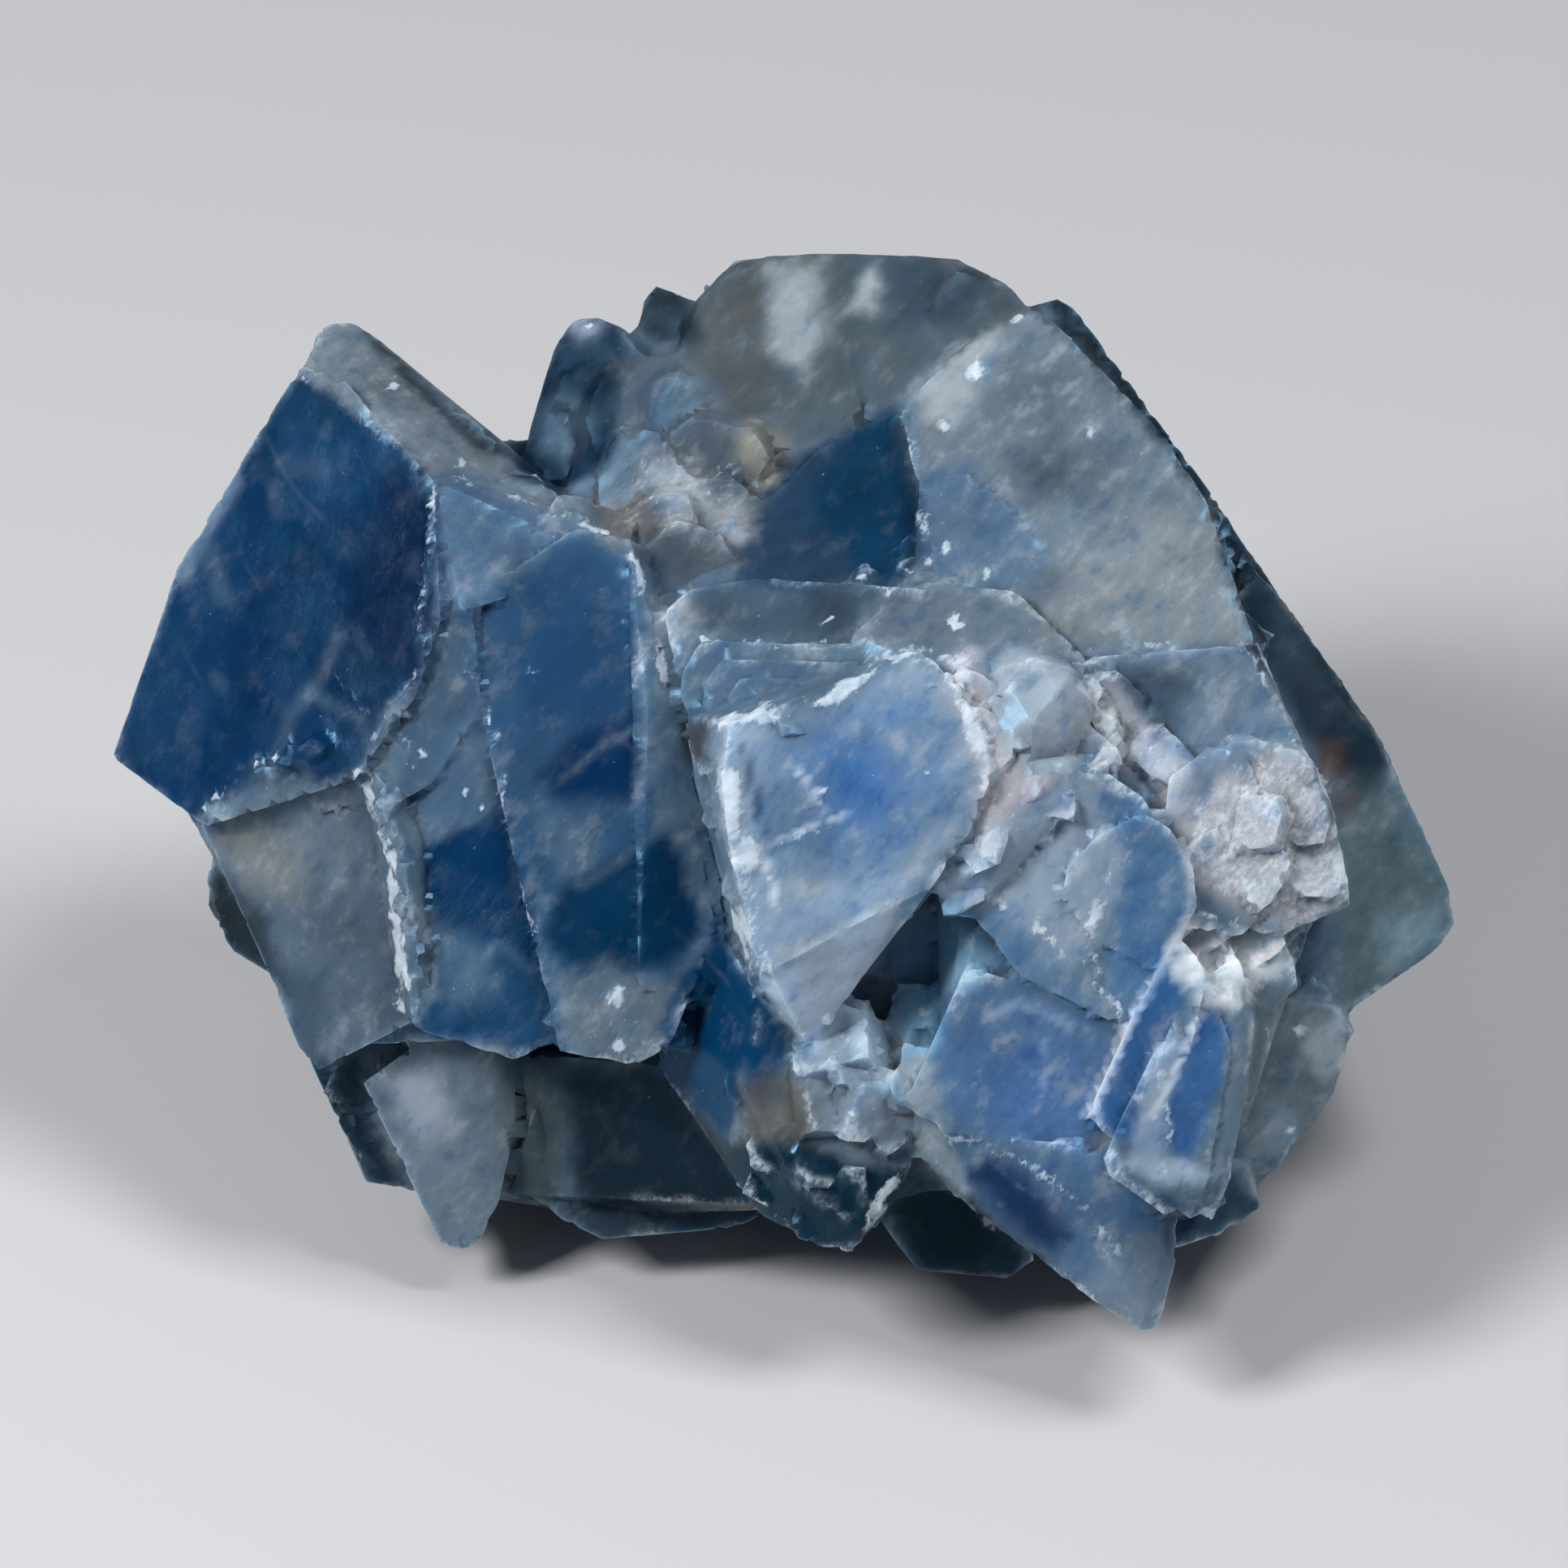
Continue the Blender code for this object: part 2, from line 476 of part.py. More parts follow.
def right_blocks(home):
    """The striated face, the frosted block beside it and the blurred mass behind them."""
    block(
        home, "striated_face",
        [(13.6, 5.6), (17.2, 5.9), (20.9, 6.2), (21.9, 3.5), (23.0, 1.6), (20.5, 1.0), (17.8, -0.6),
         (16.4, 2.0)],
        out=12.2, slope=(-0.22, -0.16), root=-2, shrink=0.9,
    )
    block(
        home, "furrow",
        [(12.6, 5.4), (14.2, 5.0), (16.0, 3.1), (17.9, -0.2), (18.0, -3.4), (15.8, -1.2), (13.6, 0.4),
         (12.8, 3.0)],
        out=13.0, slope=(-0.05, -0.02), root=0, shrink=0.9,
    )
    frosted = [(17.7, -0.2), (20.6, 2.0), (23.1, 1.6), (24.3, -1.2), (25.0, -5.4), (22.6, -6.3),
               (21.0, -6.6), (19.1, -5.6), (17.5, -3.4)]
    block(home, "frosted_block", frosted, out=13.8, slope=(-0.14, 0.02), root=0, shrink=0.85)
    terrace(home, "frosted_step", frosted, 13.8, (-0.14, 0.02), (15.5, 1.0), (0.8, 0.62), 0.4)
    block(
        home, "back_slab",
        [(11.0, 21.5), (12.2, 21.8), (13.1, 21.2), (15.4, 18.0), (18.8, 13.0), (21.4, 9.9), (24.6, 5.0),
         (24.0, -2.0), (14.0, 4.0)],
        out=-1.0, slope=(-0.1, -0.12), root=-15, shrink=0.8, lean=(-2, -2),
    )
    block(
        home, "back_corner",
        [(20.6, 10.2), (22.6, 8.0), (24.7, 5.0), (26.8, 2.1), (27.2, 0.2), (28.5, -2.0), (29.9, -4.8),
         (30.1, -6.3), (29.4, -7.4), (26.8, -9.2), (25.2, -10.2), (21.5, -8.5), (19.0, 2.0)],
        out=2.0, slope=(-0.28, -0.06), root=-14, shrink=0.78, lean=(-3, 0),
    )
    block(
        home, "lower_lobe",
        [(20.4, -9.4), (24.6, -9.8), (25.2, -11.8), (24.6, -14.0), (23.2, -15.8), (21.1, -17.8),
         (19.4, -17.0), (19.4, -12.0)],
        out=4.4, slope=(-0.3, 0.05), root=-9, shrink=0.8, lean=(-1, 2),
    )
    block(
        home, "under_lobe",
        [(16.0, -17.0), (20.8, -16.8), (21.2, -18.8), (20.2, -19.6), (17.3, -20.6), (15.4, -20.4)],
        out=6.6, slope=(-0.1, 0.1), root=-6, shrink=0.8, lean=(0, 2),
    )


def left_chips(home):
    """The crushed spots and broken faces along the edges of the slabs on the left."""
    chips(home, "pale_ridge_chip", [(-17.6, -0.6, 8.8), (-16.8, -4.4, 8.9),
                                    (-16.3, -9.6, 8.3)], 6, (0.6, 1.2), 0.15, 1)
    chips(home, "slab_foot_chip", [(-25.4, -1.0, 4.8), (-22.8, 1.0, 6.4),
                                   (-19.6, 0.8, 7.9)], 8, (0.6, 1.2), 0.35, 2)
    flakes(
        home, "slope_face",
        [(-20.0, 18.9, 2.6), (-17.6, 16.9, 4.4), (-14.6, 14.9, 4.8), (-11.4, 12.8, 6.4),
         (-8.6, 11.0, 7.6)],
        1.7, 6, 0.35, (0.4, 0.5, 1),
    )
    flakes(home, "slab_toe", [(-9.2, -10.4, 9.9), (-7.4, -11.2, 9.9), (-5.6, -10.4, 10.0)], 1.3, 5, 0.45)
    flakes(
        home, "tooth_face",
        [(-17.2, -13.4, 2.9), (-14.6, -12.8, 3.5), (-14.2, -16.4, 2.5),
         (-12.4, -14.2, 3.2)], 1.8, 28, 0.3,
    )
    flakes(home, "left_lobe_face", [(-24.4, -4.4, 0.9), (-23.4, -6.6, 0.9)], 1.5, 34, 0.35)
    flakes(home, "corner_face", [(-19.0, -13.8, 1.7), (-17.6, -16.2, 1.6)], 1.6, 27, 0.35)


def nose_chips(home):
    """The white crumbled rims around the nose and the dome."""
    flakes(
        home, "nose_crest",
        [(-2.0, 2.4, 15.4), (0.6, 2.9, 15.7), (2.8, 3.4, 15.7), (4.6, 4.5, 15.4), (6.0, 4.9, 15.3),
         (7.2, 4.0, 15.9)],
        0.9, 7, 0.45, (0, 0.4, 1),
    )
    flakes(home, "nose_cheek", [(-3.2, 1.6, 14.3), (-2.8, -1.2, 14.7),
                                (-1.8, -4.8, 14.9)], 1.2, 8, 0.4, (-0.8, 0, 1))
    flakes(
        home, "nose_chin",
        [(-0.4, -8.4, 14.2), (1.0, -9.6, 12.9), (2.4, -8.0, 13.8),
         (4.4, -6.2, 14.6)], 1.4, 9, 0.4, (0.2, -0.6, 1),
    )
    flakes(
        home, "saddle_face",
        [(8.0, 4.2, 15.3), (8.9, 1.6, 16.1), (10.4, 0.0, 16.1), (8.8, -2.6, 16.2), (7.6, -4.8, 15.5),
         (11.8, -0.4, 15.7)],
        1.3, 10, 0.4,
    )
    flakes(home, "dome_edge", [(13.2, 4.0, 13.9), (14.2, 2.4, 14.0), (13.8, 0.9, 14.8)], 1.1, 11, 0.45)
    flakes(home, "furrow_face", [(14.2, 3.4, 13.3), (16.2, 1.6, 13.6), (17.4, -1.6, 13.9)], 1.5, 26, 0.3)


def right_chips(home):
    """The crushed, frosted block on the right and the flank behind it."""
    flakes(
        home, "frost_face",
        [(18.4, -0.8, 14.3), (20.2, 0.8, 14.3), (22.2, 0.6, 13.9), (23.0, -1.6, 13.9),
         (20.6, -1.6, 14.9), (18.8, -3.4, 14.7), (21.0, -3.8, 14.6), (23.2, -3.8, 13.7),
         (19.6, -5.0, 14.4), (22.6, -5.2, 13.7)],
        1.6, 12, 0.5,
    )
    flakes(
        home, "shoulder_face",
        [(18.4, -6.2, 13.5), (20.6, -6.8, 12.9), (21.4, -8.6, 12.3), (19.4, -8.6, 13.0),
         (20.6, -10.8, 12.3)],
        1.3, 13, 0.35,
    )
    flakes(home, "fin_foot", [(15.4, -16.0, 14.3), (17.2, -17.2, 13.9),
                              (18.6, -18.2, 13.2)], 0.9, 14, 0.45)
    flakes(
        home, "ridge_face",
        [(11.4, 19.8, 2.9), (15.6, 15.6, 4.9), (18.4, 11.6, 6.8),
         (20.2, 6.6, 9.6)], 1.4, 20, 0.3, (0.3, 0.4, 1),
    )
    flakes(
        home, "flank_face",
        [(14.6, 15.0, -0.6), (18.0, 10.4, -0.6), (21.0, 5.8, 1.4), (23.4, 1.8, 1.4), (25.2, -2.4, 1.4),
         (25.8, -5.8, 1.4), (23.4, -7.0, 2.2)],
        2.4, 31, 0.35, (0.4, 0.1, 1),
    )
    flakes(
        home, "lobe_face",
        [(23.4, -10.6, 3.4), (22.8, -13.2, 3.6), (21.4, -15.8, 4.6),
         (18.8, -18.4, 6.4)], 1.7, 32, 0.35, (0.3, 0, 1),
    )


def lower_chips(home):
    """The small blocks in the hollow under the nose and along the wedge and the tip."""
    flakes(
        home, "hollow_face",
        [(2.4, -10.6, 11.8), (3.4, -12.4, 11.8), (5.6, -13.2, 12.3), (1.6, -13.0, 11.6),
         (4.6, -15.0, 11.6)],
        1.3, 15, 0.5,
    )
    flakes(
        home, "stained_face",
        [(-1.6, -13.4, 11.0), (0.4, -14.4, 11.4), (1.4, -16.4, 11.4), (-0.8, -16.2, 10.9),
         (2.8, -18.0, 11.2)],
        1.4, 16, 0.35,
    )
    flakes(home, "wedge_foot", [(-0.8, -17.8, 9.6), (1.4, -19.2, 10.2),
                                (3.6, -18.4, 10.6)], 1.1, 17, 0.35)
    flakes(home, "tip_edge", [(8.8, -17.8, 11.6), (11.4, -19.8, 11.5)], 1.6, 18, 0.3, (-0.4, -0.4, 1))
    flakes(home, "under_face", [(6.0, -20.0, 4.4), (9.2, -20.4, 4.4)], 1.5, 33, 0.3)


def upper_chips(home):
    """The lumpy shoulder, the crown's faces and the sparkling crumbs under the dark face."""
    chips(home, "sparkle_block", [(3.4, 9.2, 8.7), (5.4, 9.4, 8.6), (8.0, 8.6, 9.9)], 7, (0.5, 1.1),
          0.25, 21)
    flakes(home, "cavity_rim", [(5.2, 15.2, 4.3), (5.9, 13.0, 5.8),
                                (6.3, 10.4, 7.8)], 1.0, 22, 0.4, (-0.3, 0, 1))
    flakes(
        home, "crown_face",
        [(-2.6, 19.6, 0.9), (0.4, 20.6, 1.2), (3.4, 20.2, 1.4), (6.2, 20.6, 1.2), (0.6, 17.0, 2.4),
         (8.6, 20.4, 1.4)],
        2.6, 23, 0.3, (0, 0.3, 1),
    )
    flakes(
        home, "shoulder_lump",
        [(-7.0, 16.6, 1.9), (-4.6, 17.0, 2.6), (-3.4, 14.6, 3.8), (-6.4, 13.6, 4.2), (-3.0, 12.0, 5.4),
         (-5.6, 11.2, 6.2), (-3.8, 9.9, 7.4)],
        2.3, 24, 0.4,
    )
    flakes(home, "knob_face", [(-10.0, 15.0, 0.6), (-8.8, 17.6, 0.6), (-7.6, 15.6, 1.4)], 1.7, 25, 0.35)


def hidden_blocks(home):
    """The core, the back and the underside, which the viewer doesn't see."""
    hull_object(
        "core",
        [(-20, 14, -2), (-8, 16, -4), (6, 19, -6), (14, 14, -4), (21, 4, -2), (23, -6, -3), (19, -14, 0),
         (8, -17, 2),
         (-4, -16, 2), (-16, -13, 0), (-20, -4, 2), (-8, 6, 6), (4, 4, 9), (14, 2, 9), (14, -10, 9),
         (2, -8, 9), (-8, -8, 5),
         stand_to_view(-17, 12, 0), stand_to_view(-6, 16, 0), stand_to_view(12, 16, 0),
         stand_to_view(20, 9, 0),
         stand_to_view(18, -4, 0), stand_to_view(-12, -6, 0)],
        home,
    )
    hull_object(
        "back_left",
        on_stand([(-22, 6, 3), (-20, 8, 0), (-9, 13, 0), (-12, 14.5, 4), (-22.5, 9.5, 14),
                  (-19, 11.5, 25), (-13, 12.5, 25), (-13, 15, 16), (-6, 15, 22), (-21, 0, 8),
                  (-12, 0, 20), (-4, 8, 6)]),
        home,
    )
    hull_object(
        "back_right",
        on_stand([(-8, 15, 1), (-9.5, 16.5, 8), (-9, 15.5, 29), (-4, 17.5, 34), (4, 19, 34),
                  (11, 18.5, 31), (17, 17, 22), (19.5, 15.5, 18), (21, 13, 8), (19, 11, 0), (12, 16, 1),
                  (2, 17.5, 2), (5, 19.5, 16), (0, 5, 10), (14, 4, 10)]),
        home,
    )
    behind = Vector(stand_to_view(0, 1, 0)) - Vector(stand_to_view(0, 0, 0))
    below = Vector(stand_to_view(0, -1, -0.5)) - Vector(stand_to_view(0, 0, 0))
    flakes(
        home, "back_face",
        on_stand([(-17, 12.6, 18), (-11, 14.4, 9), (-7, 16.4, 23), (-2, 17.8, 12), (1, 18.8, 28),
                  (6, 18.6, 7), (9, 19.4, 22), (14, 17.4, 13), (15.4, 15.8, 18), (-5, 15.8, 4),
                  (10, 18.2, 24), (-14, 12, 6)]),
        4.4, 41, 0.22, behind,
    )
    flakes(
        home, "right_side_face",
        on_stand([(20, 8, 6), (22.2, 5, 13), (20.4, 9.6, 15), (19, -2, 4), (21.4, 2.4, 8.4)]),
        3.2, 42, 0.25, Vector((1, 0, 0)) + 0.3 * behind,
    )
    flakes(
        home, "left_side_face",
        on_stand([(-19, 2, 7), (-23.4, 3.4, 16), (-20.6, 8, 11), (-16.4, -2, 5)]),
        3.0, 43, 0.25, Vector((-1, 0, 0)) + 0.3 * behind,
    )
    flakes(
        home, "foot_face", on_stand([(-10, -7.4, 3.4), (-2, -9.4, 4), (6, -11.4, 3.8), (13, -9, 4)]),
        3.6, 44, 0.25, below,
    )


def material():
    stone = bpy.data.materials.new("blue_calcite")
    stone.use_nodes = True
    shader = stone.node_tree.nodes["Principled BSDF"]
    shader.inputs["Base Color"].default_value = (0.16, 0.30, 0.48, 1)
    shader.inputs["Roughness"].default_value = 0.35
    shader.inputs["Metallic"].default_value = 0
    return stone


def boolean(target, operation, operands):
    modifier = target.modifiers.new(operation.lower(), "BOOLEAN")
    modifier.operation = operation
    modifier.operand_type = "COLLECTION"
    modifier.collection = operands
    modifier.solver = "EXACT"
    modifier.use_self = True


def joined_mesh(stone):
    """The evaluated lump as one mesh, with the short edges that the unions leave welded."""
    graph = bpy.context.evaluated_depsgraph_get()
    mesh = bpy.data.meshes.new_from_object(stone.evaluated_get(graph))
    shape = bmesh.new()
    shape.from_mesh(mesh)
    bmesh.ops.remove_doubles(shape, verts=shape.verts, dist=WELD * MM)
    keep_largest(shape)
    bmesh.ops.triangulate(shape, faces=shape.faces)
    shape.to_mesh(mesh)
    shape.free()
    return mesh


def keep_largest(shape):
    """Removes closed bubbles left inside the lump, and any crumb that isn't joined to it."""
    left = set(shape.verts)
    bodies = []
    while left:
        body = set()
        reached = [left.pop()]
        while reached:
            vert = reached.pop()
            body.add(vert)
            near = {edge.other_vert(vert) for edge in vert.link_edges} & left
            left -= near
            reached.extend(near)
        bodies.append(body)
    bodies.sort(key=len)
    for body in bodies[:-1]:
        bmesh.ops.delete(shape, geom=list(body), context="VERTS")


def stand_up(mesh):
    """Turns the lump from the viewer's frame onto its base,
    with the origin at the box's bottom centre."""
    to_stand = Matrix.Rotation(math.pi / 2 - VIEW_TILT, 4, "X")
    mesh.transform(to_stand)
    low = [min(v.co[k] for v in mesh.vertices) for k in range(3)]
    high = [max(v.co[k] for v in mesh.vertices) for k in range(3)]
    mesh.transform(Matrix.Translation((-(low[0] + high[0]) / 2, -(low[1] + high[1]) / 2, -low[2])))


def build():
    clear_scene()
    scene_root = bpy.context.scene.collection
    part = collection("blue_calcite", scene_root)
    blocks = collection("cleavage_blocks", scene_root)
    cutters = collection("cutters", scene_root)
    for make in (
        masses, left_blocks, lower_left_blocks, nose_blocks, middle_blocks, wedge_blocks, upper_blocks,
        right_blocks, left_chips, nose_chips, right_chips, lower_chips, upper_chips, hidden_blocks,
    ):
        make(blocks)
    hull_object("ground", on_stand(itertools.product((-45, 45), (-45, 45), (-40, 0))), cutters)
    seed = bpy.data.meshes.new_from_object(bpy.data.objects["core"])
    stone = bpy.data.objects.new("calcite", seed)
    part.objects.link(stone)
    blocks.objects.unlink(bpy.data.objects["core"])
    boolean(stone, "UNION", blocks)
    boolean(stone, "DIFFERENCE", cutters)
    bpy.context.view_layer.update()
    mesh = joined_mesh(stone)
    stone.modifiers.clear()
    stone.data = mesh
    stand_up(mesh)
    mesh.materials.clear()
    mesh.materials.append(material())
    return stone


build()
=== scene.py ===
"""The looks of a lump of blue calcite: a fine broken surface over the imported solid, and a cloudy blue stone.

The stone is painted as it faces a viewer who looks down on it at VIEW_TILT. In that viewer's frame x runs to
the right, y up the picture and z out towards the viewer, all in millimetres, and every outline, line and spot
below is written in it. Sides that the viewer can't see get one tone for each flat side, with noise over it.
"""

import math

import bmesh
import bpy
import numpy as np
from mathutils import Matrix, Vector, noise
from mathutils.bvhtree import BVHTree
from mathutils.kdtree import KDTree


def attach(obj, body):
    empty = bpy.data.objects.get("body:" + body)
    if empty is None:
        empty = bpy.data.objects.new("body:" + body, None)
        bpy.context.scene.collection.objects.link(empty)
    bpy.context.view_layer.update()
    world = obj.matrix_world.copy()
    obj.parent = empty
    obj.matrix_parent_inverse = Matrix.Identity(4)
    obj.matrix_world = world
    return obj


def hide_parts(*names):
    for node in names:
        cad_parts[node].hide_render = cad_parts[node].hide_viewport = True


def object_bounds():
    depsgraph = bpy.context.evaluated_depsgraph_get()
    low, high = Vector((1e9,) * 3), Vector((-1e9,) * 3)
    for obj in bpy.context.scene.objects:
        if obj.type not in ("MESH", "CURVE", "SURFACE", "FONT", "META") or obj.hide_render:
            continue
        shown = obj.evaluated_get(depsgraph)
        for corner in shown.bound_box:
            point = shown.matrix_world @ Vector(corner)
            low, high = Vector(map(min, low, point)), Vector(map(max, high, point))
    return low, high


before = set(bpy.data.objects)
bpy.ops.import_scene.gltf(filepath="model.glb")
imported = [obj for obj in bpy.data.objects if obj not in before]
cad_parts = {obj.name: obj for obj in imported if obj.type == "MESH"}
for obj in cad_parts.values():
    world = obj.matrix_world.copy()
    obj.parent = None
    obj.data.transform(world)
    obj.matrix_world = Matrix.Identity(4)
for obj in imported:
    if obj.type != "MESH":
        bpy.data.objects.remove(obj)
cad_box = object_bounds()

MM = 0.001

# The viewer's frame: how steeply it looks down, its origin, and the turns into it and back
VIEW_TILT = math.radians(35)
VIEW_SHIFT = Vector((0.1, -15.357, 0.0))
TO_VIEW = np.array(Matrix.Rotation(-(math.pi / 2 - VIEW_TILT), 3, "X"))
FROM_VIEW = Matrix.Rotation(math.pi / 2 - VIEW_TILT, 3, "X")

# The camera: width of stone it frames and the point it aims at, in millimetres, lens, sensor, clip in metres
FRAME_WIDTH = 70.51
CAMERA_AIM = (0, 0, 5)
LENS = 450
SENSOR = 36
CLIP_START = 0.01
CLIP_END = 10

# The fine mesh: its squares in millimetres, and how near to a sharp edge a point moves onto it, in squares
VOXEL = 0.36
CREASE_REACH = 0.62
CREASE_STEP = 0.2 * VOXEL
CREASE_ANGLE = math.radians(18)
SHADED_SHARP_ANGLE = math.radians(24)
WELD = 0.001

# Flat sides have one tone where their level, in these millimetres, and their direction round to the same step
TONE_LEVEL = 1.5
TONE_STEPS = 4
TONE_SPREAD = 9

# Ridges and hollows: the rounds of smoothing they stand out from, and a full one's bulge in millimetres
RIDGE_ROUNDS = 6
RIDGE_BULGE = 0.13
RIDGE_GAIN = 1.25
RIDGE_CHIPS = (0.2, 0.8)
CAVITY_ROUNDS = 14
CAVITY_BULGE = 0.35

# Rounds of smoothing that chips and wear cut down to, and that soften normals, ridges and tones
CHIP_ROUNDS = 8
WORN_ROUNDS = 22
SIGHT_ROUNDS = 3
SOFT_ROUNDS = 2

# Relief in millimetres, small facets being higher in frost, and the heights over the base where it starts
SWELL = 0.03
WIDE_FACETS = 0.03
SMALL_FACETS = 0.015
FROST_FACETS = 0.11
FROST_GRAINS = 0.12
FLAT_BASE = (0.2, 0.8)

# How far noise shifts outlines, in millimetres, and where in its width a line or a spot is full and gone
WARP = 0.30
LINE_FULL = 0.2
LINE_GONE = 1.4
SPOT_FULL = 0.1
SPOT_GONE = 1.0

# Strengths of chips, white spots, patchy seams, frost and clouds at the back, and what dims a white rim
CHIP_DEPTH = 0.8
SPOT_FROST = 0.8
PATCHY_LEAST = 0.45
BACK_FROST = 0.4
BACK_CLOUDS = 0.5
FADING_LEAST = 0.2
WORN_DIMS = 0.6
BLUR_DIMS = 0.5

# Where a side comes into sight, where the stone is out of focus in x and in y, and the edge of a calm place
IN_SIGHT = (-0.3, 0.0)
BLURRED_LEFT = (-4, -10)
BLURRED_TOP = (7, 11)
CALM_EDGE = (-0.3, 0.1)

# What noise is shifted by for each seed, how it gets finer, and how facets are told apart
NOISE_SHIFT = (17.3, 5.1, 9.7)
FACET_SHIFT = (11.9, 3.7, 7.3)
FACET_SPREAD = 37.7
FALL_OFF = 0.8
LACUNARITY = 2.1

# Noise that says how much of something shows, and the levels where it starts and is full
CHIPPED = {"size": 1.4, "octaves": 2, "seed": 21, "low": 0.1, "high": 0.6}
PATCHY = {"size": 1.7, "octaves": 2, "seed": 13, "low": -0.25, "high": 0.35}
FROSTY_BACK = {"size": 5.0, "octaves": 3, "seed": 14, "low": 0.1, "high": 0.5}
FADING = {"size": 2.8, "octaves": 2, "seed": 15, "low": -0.35, "high": 0.3}
DARK_CLOUDS = {"size": 9, "octaves": 3, "seed": 2, "low": -0.1, "high": 0.7}
PALE_CLOUDS = {"size": 6, "octaves": 3, "seed": 3, "low": -0.1, "high": 0.7}

# The turn of the stone's cleavage, and sizes of streaks, mottles and crushed grains along it
CLEAVAGE_TURN = (0.5, 0.35, -0.6)
STREAK_SIZES = (0.9, 6.0, 6.0)
MOTTLE_SIZES = (1.1, 1.9, 1.5)
GRAIN_SIZES = (0.28, 0.5, 0.6)

# The cloudy planes inside the stone: their direction, spacing and width, and how strongly they show
PLANE_DIRECTION = (0.75, 0.25, 0.6)
PLANE_SPACING = 4.6
PLANE_WIDTH = 0.05
PLANE_STRENGTH = 0.07

# Fixed values of the stone's shader
STONE_SHADER = {
    "IOR": 1.52,
    "Specular IOR Level": 0.14,
    "Specular Tint": (0.32, 0.66, 1.0, 1),
    "Subsurface Weight": 0.75,
    "Subsurface Radius": (0.45, 0.75, 1.0),
    "Subsurface Scale": 2.0 * MM,
}
BUMP_STRENGTH = 0.55
BUMP_DISTANCE = 0.15 * MM

# The floor, its half width in metres, and the light around the stone
FLOOR_SHADER = {"Base Color": (0.42, 0.42, 0.43, 1), "Roughness": 0.85}
FLOOR_HALF = 0.6
SKY_LIGHT = {"Color": (0.80, 0.86, 0.95, 1), "Strength": 0.18}
STONE_MIDDLE = (0, 0, 0.016)

# Soft lamps: name, direction in the viewer's frame, distance and size in metres, power
LAMPS = [
    ("left", (-0.85, 0.5, 1.0), 0.42, 0.12, 2.1),
    ("right", (0.6, 1.0, 1.0), 0.45, 0.14, 1.5),
]

# Colours of the stone, as shares of red, green and blue light in sRGB
DEEP = (0.00, 0.21, 0.39)
WINDOW = (0.09, 0.28, 0.44)
ABYSS = (0.00, 0.07, 0.13)
AZURE = (0.18, 0.41, 0.67)
SKY = (0.50, 0.59, 0.69)
STEEL = (0.30, 0.40, 0.50)
HAZE = (0.38, 0.47, 0.54)
MIST = (0.51, 0.58, 0.64)
PALE = (0.64, 0.68, 0.72)
CHALK = (0.88, 0.90, 0.92)
TAN = (0.50, 0.44, 0.36)
RUST = (0.48, 0.30, 0.18)
OLIVE = (0.27, 0.30, 0.30)
SLATE = (0.19, 0.25, 0.31)
# The dark tint of the painted shade in the hollows, not a colour of the stone
HOLLOW_SHADE = (0.10, 0.15, 0.17)

# The tint that dark mottles multiply the stone by
BLUER = (0.42, 0.62, 0.84)

